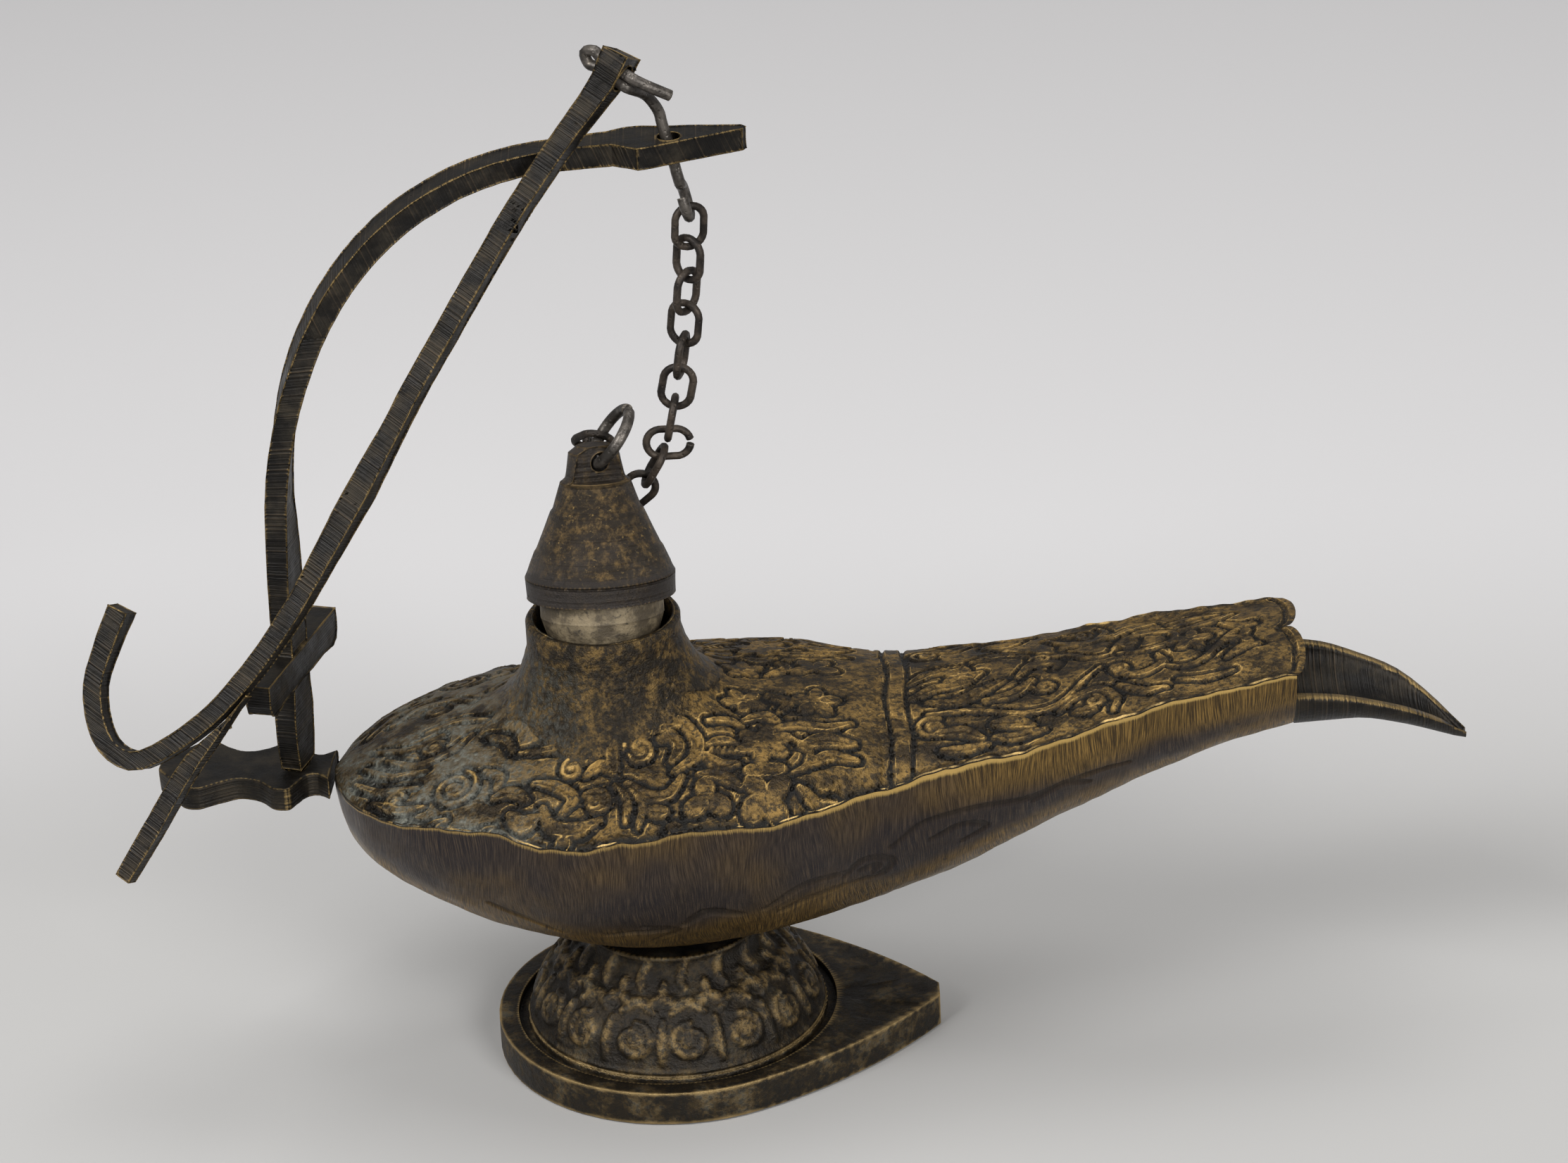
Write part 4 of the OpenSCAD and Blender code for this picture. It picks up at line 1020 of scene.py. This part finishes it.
# %% Bowl skins
# Lines on a plan of the length and the way down the hull, with their widths.
HULL_LINES = [
    ([(28, 10.5), (32, 7.6), (38, 7.0), (45, 8.0), (53, 7.0), (58, 7.6)], 0.7),
    ([(22, 14), (24.5, 11.6), (28, 13.0), (26.6, 15.6), (23, 16)], 0.8),
    ([(24, 13.6), (26.2, 13.4), (25.6, 14.8)], 0.8),
    ([(33, 10.8), (37, 9.4), (40, 11.2), (37, 13)], 0.7), ([(46, 8.8), (50, 7.4), (53, 8.8)], 0.8),
    ([(-22, 13.5), (-17, 17), (-13, 20)], 0.9), ([(12, 17), (17, 13.4), (22, 13)], 0.8),
    ([(2, 18), (5, 15.5), (9, 17.2)], 1.3), ([(-3, 17), (1, 19.5), (-2, 22)], 1.0),
    ([(14, 19), (18, 17), (22, 16)], 0.9), ([(-8, 20), (-4, 18.5), (0, 19)], 0.6),
]
hull_cuts = Engraving(-42, 80, -2, 40)
for line, wide in HULL_LINES:
    hull_cuts.stroke(line, wide, 0.4)
SKIN_BOTTOM = 17.6
HULL_BACK = -BODY_BACK + 0.03


def bowl_skin(name, side, nu, nv):
    mesh, u, v = grid(nu, nv)
    x = HULL_BACK + (MOUTH_X - HULL_BACK) * (u * 0.93 + 0.07 * u * u)
    c, s = np.cos(v * math.pi / 2), np.sin(v * math.pi / 2)
    w, top = half_width(x), seam(x)
    deep = top - keel(x)
    y = -side * w * 0.9993 * c
    z = np.maximum(top + wander(x) * (1 - smooth(0.0, 0.22, s)) - deep * s, SKIN_BOTTOM)
    down = v * math.pi / 2 * np.hypot(w, deep) / 1.3
    n = columns(np.zeros_like(x), -side * c * deep, -s * w)
    n /= np.linalg.norm(n, axis=1)[:, None]
    cut = 1 - smooth(0.0, 0.3, hull_cuts.read(x, down))
    uneven = noise_at(x * 0.16, y * 0.16, z * 0.16)
    dent = noise_at(x * 0.55, y * 0.55, z * 0.55) * (0.4 + smooth(0.55, 0.8, v))
    push = np.minimum(-0.12 - 0.20 * cut + 0.20 * uneven + 0.08 * dent, 0.02)
    ends = smooth(-BODY_BACK, -39.5, x) * smooth(0.0, 0.04, v) * smooth(1.0, 0.97, v)
    set_points(mesh, columns(x, y, z) + n * (push * ends)[:, None])
    spout, belly = smooth(15, 45, x), smooth(60, 25, x)
    band = smooth(0.62, 0.30, v) * belly + 1.1 * bell(v - 0.34, 0.17) * spout
    # Painted shade: marks the lower belly and the lower spout to be drawn darker.
    low = smooth(0.50, 0.85, v) * smooth(40, 10, x) + 0.5 * spout * smooth(0.40, 0.55, v)
    around = x + 0.3 * np.sin(down * 0.3 + x * 0.4)
    # Painted highlight: glints along the hull's top edge, stronger toward the spout.
    rim = 0.85 * bell(v, 0.03) + 0.35 * bell(v, 0.16) * smooth(5, 35, x)
    mark(mesh, band=band, low=low, cut=cut * 0.45, around=around, down=down, rim=rim)
    face_up(mesh, (0, -side, 0))
    make_piece(mesh, name, scratched)


bowl_skin("bowl_skin_near", 1, 480, 150)
bowl_skin("bowl_skin_far", -1, 360, 100)

# %% [markdown]
# Where cover and bowl meet, the metal was hammered over into a thin edge, with painted
# glints along it that grow brighter toward the spout.

# %% Hammered seam
# Place across the edge, then how far in it lies and how high it rises there.
EDGE_ROWS = np.array([
    [0, 0.70, -0.1], [0.2, 0.42, 0.26], [0.4, 0.22, 0.36], [0.55, 0.10, 0.28],
    [0.7, 0.04, 0.0], [0.85, 0.04, -0.35], [1, 0.12, -0.7],
])
EDGE_BACK = -BODY_BACK + 0.05


def seam_edge(name, side):
    mesh, u, v = grid(900, 8)
    x = EDGE_BACK + (MOUTH_X - 0.05 - EDGE_BACK) * u
    w = half_width(x)
    inset, rise = (np.interp(v, EDGE_ROWS[:, 0], EDGE_ROWS[:, k]) for k in (1, 2))
    zero = np.zeros_like(x)
    beat = noise_at(x * 0.22, zero + 3, zero) + 0.35 * noise_at(x * 0.9, zero + 7, zero)
    ends = smooth(0.0, 0.015, u) * smooth(1.0, 0.985, u)
    y = -side * (w - inset * np.minimum(1, w / 4) * (0.3 + 0.7 * ends))
    lift = rise * (0.6 + 0.5 * beat) + 0.25 * (1 - np.abs(y) / w)
    z = seam(x) + SEAM_STEP + wander(x) + lift * (0.25 + 0.75 * ends)
    set_points(mesh, columns(x, y, z))
    # Painted highlight: glints along the edge, brighter toward the spout, carried in the wear
    # value.
    bright = 0.52 + 1.0 * beat + 0.20 * smooth(-10, 30, x)
    mark(mesh, worn=bright - 0.5 * (v > 0.7) - 0.2 * (v < 0.3), green=zero)
    face_up(mesh, (0, -side, 0.6))
    make_piece(mesh, name, collar_brass)


seam_edge("seam_edge_near", 1)
seam_edge("seam_edge_far", -1)

# %% [markdown]
# The foot is one casting. Scrolls run round its domed pedestal and a deep groove parts it
# from the flat rim. One plan runs round the pedestal, in steps of 3 degrees, and up it.
# The pointed end has its own plan: a border, a spiral and two leaves.

# %% Design of the foot
STEP_DEGREES, SCROLLS = 3.0, 15
foot_design = Engraving(-1, 121, -1, 22)
for k in range(SCROLLS):
    x = k * 8.0 + 4
    foot_design.spiral(x, 5.2, 2.7, 1.6, 90, 1 if k % 2 else -1, 0.8)
    foot_design.stroke([(x - 3.9, 2.2), (x - 4.1, 5.0), (x - 3.9, 8.4)], 1.1, 0.3)
    foot_design.stroke([(x - 2.6, 9.6), (x, 11.4), (x + 2.6, 9.6)], 1.4, 0.4)
    foot_design.flower(x + 4, 12.4, 2.0, 3, 90, 1.5)
    foot_design.stroke([(x, 13.6), (x - 0.8, 15.4), (x + 0.6, 17.2)], 1.5, 0.4)

foot_point = Engraving(17, 36, -16, 16)
for side in (-1, 1):
    border = [(18.4, 14.2), (23.4, 9.6), (28.0, 5.0), (32.0, 0.3)]
    leaf = [(23.0, 6.6), (25.2, 4.6), (28.4, 1.4)]
    foot_point.stroke([(x, y * side) for x, y in border], 0.6, 1)
    foot_point.stroke([(x, y * side) for x, y in leaf], 1.2, 0.4)
foot_point.spiral(24.6, 0, 2.3, 1.6, 0, 1, 0.7)
print("scrolls round the foot:", SCROLLS)

# %% [markdown]
# The foot's finish is the darkest brass of the body, greyer in patches and black in
# the groove.

# %% Foot
DOME_R, DOME_Z, GROOVE_R, POINT_X = 19.8, 4.5, 20.6, 17
DOME_DEPTH, POINT_DEPTH = 0.45, 0.30


def foot_finish():
    r = Recipe("foot_brass", metallic=0.7, roughness=0.5)
    shade, umber, gold = (0.024, 0.018, 0.011), (0.13, 0.085, 0.032), (0.20, 0.132, 0.050)
    soot, ash, black = (0.016, 0.014, 0.011), (0.13, 0.125, 0.10), (0.010, 0.008, 0.006)
    bright = (0.40, 0.28, 0.12)
    mottle, fine = r.noise(240, 6, 0.68), r.noise(1200, 4, 0.7)
    color = r.mix(r.ramp(mottle, 0.42, 0.70), shade, umber)
    color = r.mix(r.times(r.attribute("high"), r.ramp(mottle, 0.40, 0.66)), color, gold)
    color = r.mix(r.ramp(fine, 0.45, 0.60, 0, 0.85), color, soot)
    grey = r.times(r.ramp(mottle, 0.5, 0.72), r.ramp(fine, 0.3, 0.5))
    color = r.mix(r.times(grey, 0.5), color, ash)
    color = r.mix(r.attribute("deep"), color, black)
    rub_and_painted_glint = r.ramp(r.fray(r.attribute("worn"), mottle, 0.8), 0.95, 1.5, 0, 0.8)
    return r.finish(
        r.mix(rub_and_painted_glint, color, bright), roughness=r.ramp(mottle, 0.3, 0.7, 0.42, 0.62),
        normal=r.bump(fine, 0.0003, 0.8),
    )


def foot():
    mesh = weathered("foot", 0.3, 0.55, 0.04)
    co = points_of(mesh) / MM
    n = np.empty(len(mesh.vertices) * 3)
    mesh.vertices.foreach_get("normal", n)
    n = n.reshape(-1, 3)
    r = np.hypot(co[:, 0], co[:, 1])
    around = (np.degrees(np.arctan2(co[:, 1], co[:, 0])) % 360) / STEP_DEGREES
    gap = foot_design.read(around, (DOME_R - r) + (co[:, 2] - DOME_Z) * 0.75)
    domed = smooth(DOME_R, 18.6, r) * (co[:, 2] > 4.0) * smooth(0.0, 0.2, n[:, 2])
    high = (1 - smooth(0.0, 0.35, gap)) * domed
    co += n * (-DOME_DEPTH * domed * (1 - high))[:, None]
    flat = (co[:, 0] > POINT_X) * (r > 21.6) * (co[:, 2] > 3.8) * (n[:, 2] > 0.9)
    cut = flat * (1 - smooth(0.0, 0.3, foot_point.read(co[:, 0], co[:, 1])))
    co += n * (-POINT_DEPTH * cut)[:, None]
    set_points(mesh, co)
    groove = bell(r - GROOVE_R, 0.9) * 0.9 * (co[:, 2] < 7)
    mark(mesh, high=high, deep=np.maximum(groove, 0.7 * (domed * (1 - high)) + 0.7 * cut))
    make_piece(mesh, "foot_worn", foot_finish(), "foot")


foot()

# %% [markdown]
# The cap is a turned cone, brown with golden speckle and a dark flange, over a pale plug
# pitted with age.

# %% Cap and plug
CAP_LEAN, CAP_FOOT_Z = math.radians(13.5), 63.3


def cap_finish():
    r = Recipe("cap_brass", metallic=0.62, roughness=0.48)
    shade, umber, speck = (0.024, 0.018, 0.012), (0.17, 0.108, 0.040), (0.55, 0.37, 0.13)
    stain, dark, rubbed = (0.050, 0.043, 0.038), (0.030, 0.025, 0.022), (0.36, 0.24, 0.10)
    mottle, fine = r.noise(760, 7, 0.78), r.noise(1700, 4, 0.7)
    color = r.mix(r.ramp(mottle, 0.45, 0.70), shade, umber)
    color = r.mix(r.ramp(fine, 0.60, 0.74, 0, 0.6), color, speck)
    color = r.mix(r.ramp(r.noise(90, 2), 0.50, 0.66, 0, 0.7), color, stain)
    up = r.attribute("along")
    flange = r.ramp(r.fray(up, mottle, 2.0), 4.2, 5.2, 0.85, 0)
    crown = r.ramp(r.fray(up, mottle, 4.0), 15.5, 17.5, 0, 0.6)
    color = r.mix(r.plus(flange, crown), color, dark)
    rub_and_painted_glint = r.ramp(r.fray(r.attribute("worn"), mottle, 0.8), 1.1, 1.6, 0, 0.6)
    height = r.fray(r.plus(mottle, r.stripes(up, 1.6)), fine, 0.5)
    return r.finish(r.mix(rub_and_painted_glint, color, rubbed), normal=r.bump(height, 0.0005, 0.8))


def plug_finish():
    r = Recipe("plug_clay", metallic=0.25, roughness=0.6)
    shade, pale, pit = (0.075, 0.058, 0.036), (0.24, 0.19, 0.115), (0.055, 0.045, 0.032)
    mottle, fine = r.noise(330, 6, 0.7), r.noise(1400, 4, 0.7)
    color = r.mix(r.ramp(mottle, 0.4, 0.66), shade, pale)
    color = r.mix(r.ramp(fine, 0.56, 0.70), color, pit)
    return r.finish(color, normal=r.bump(r.plus(mottle, fine), 0.0003, 0.7))


def along_cap(p):
    return p.y * math.sin(CAP_LEAN) + (p.z - CAP_FOOT_Z) * math.cos(CAP_LEAN)


worn_piece(
    "cap_cone", "cap", "cap_brass", cap_finish(), 0.22, 0.6, 0.08, sharp=24, along=along_cap
)
worn_piece("cap_plug", "cap", "plug", plug_finish(), 0.2, 0.6, 0.05)
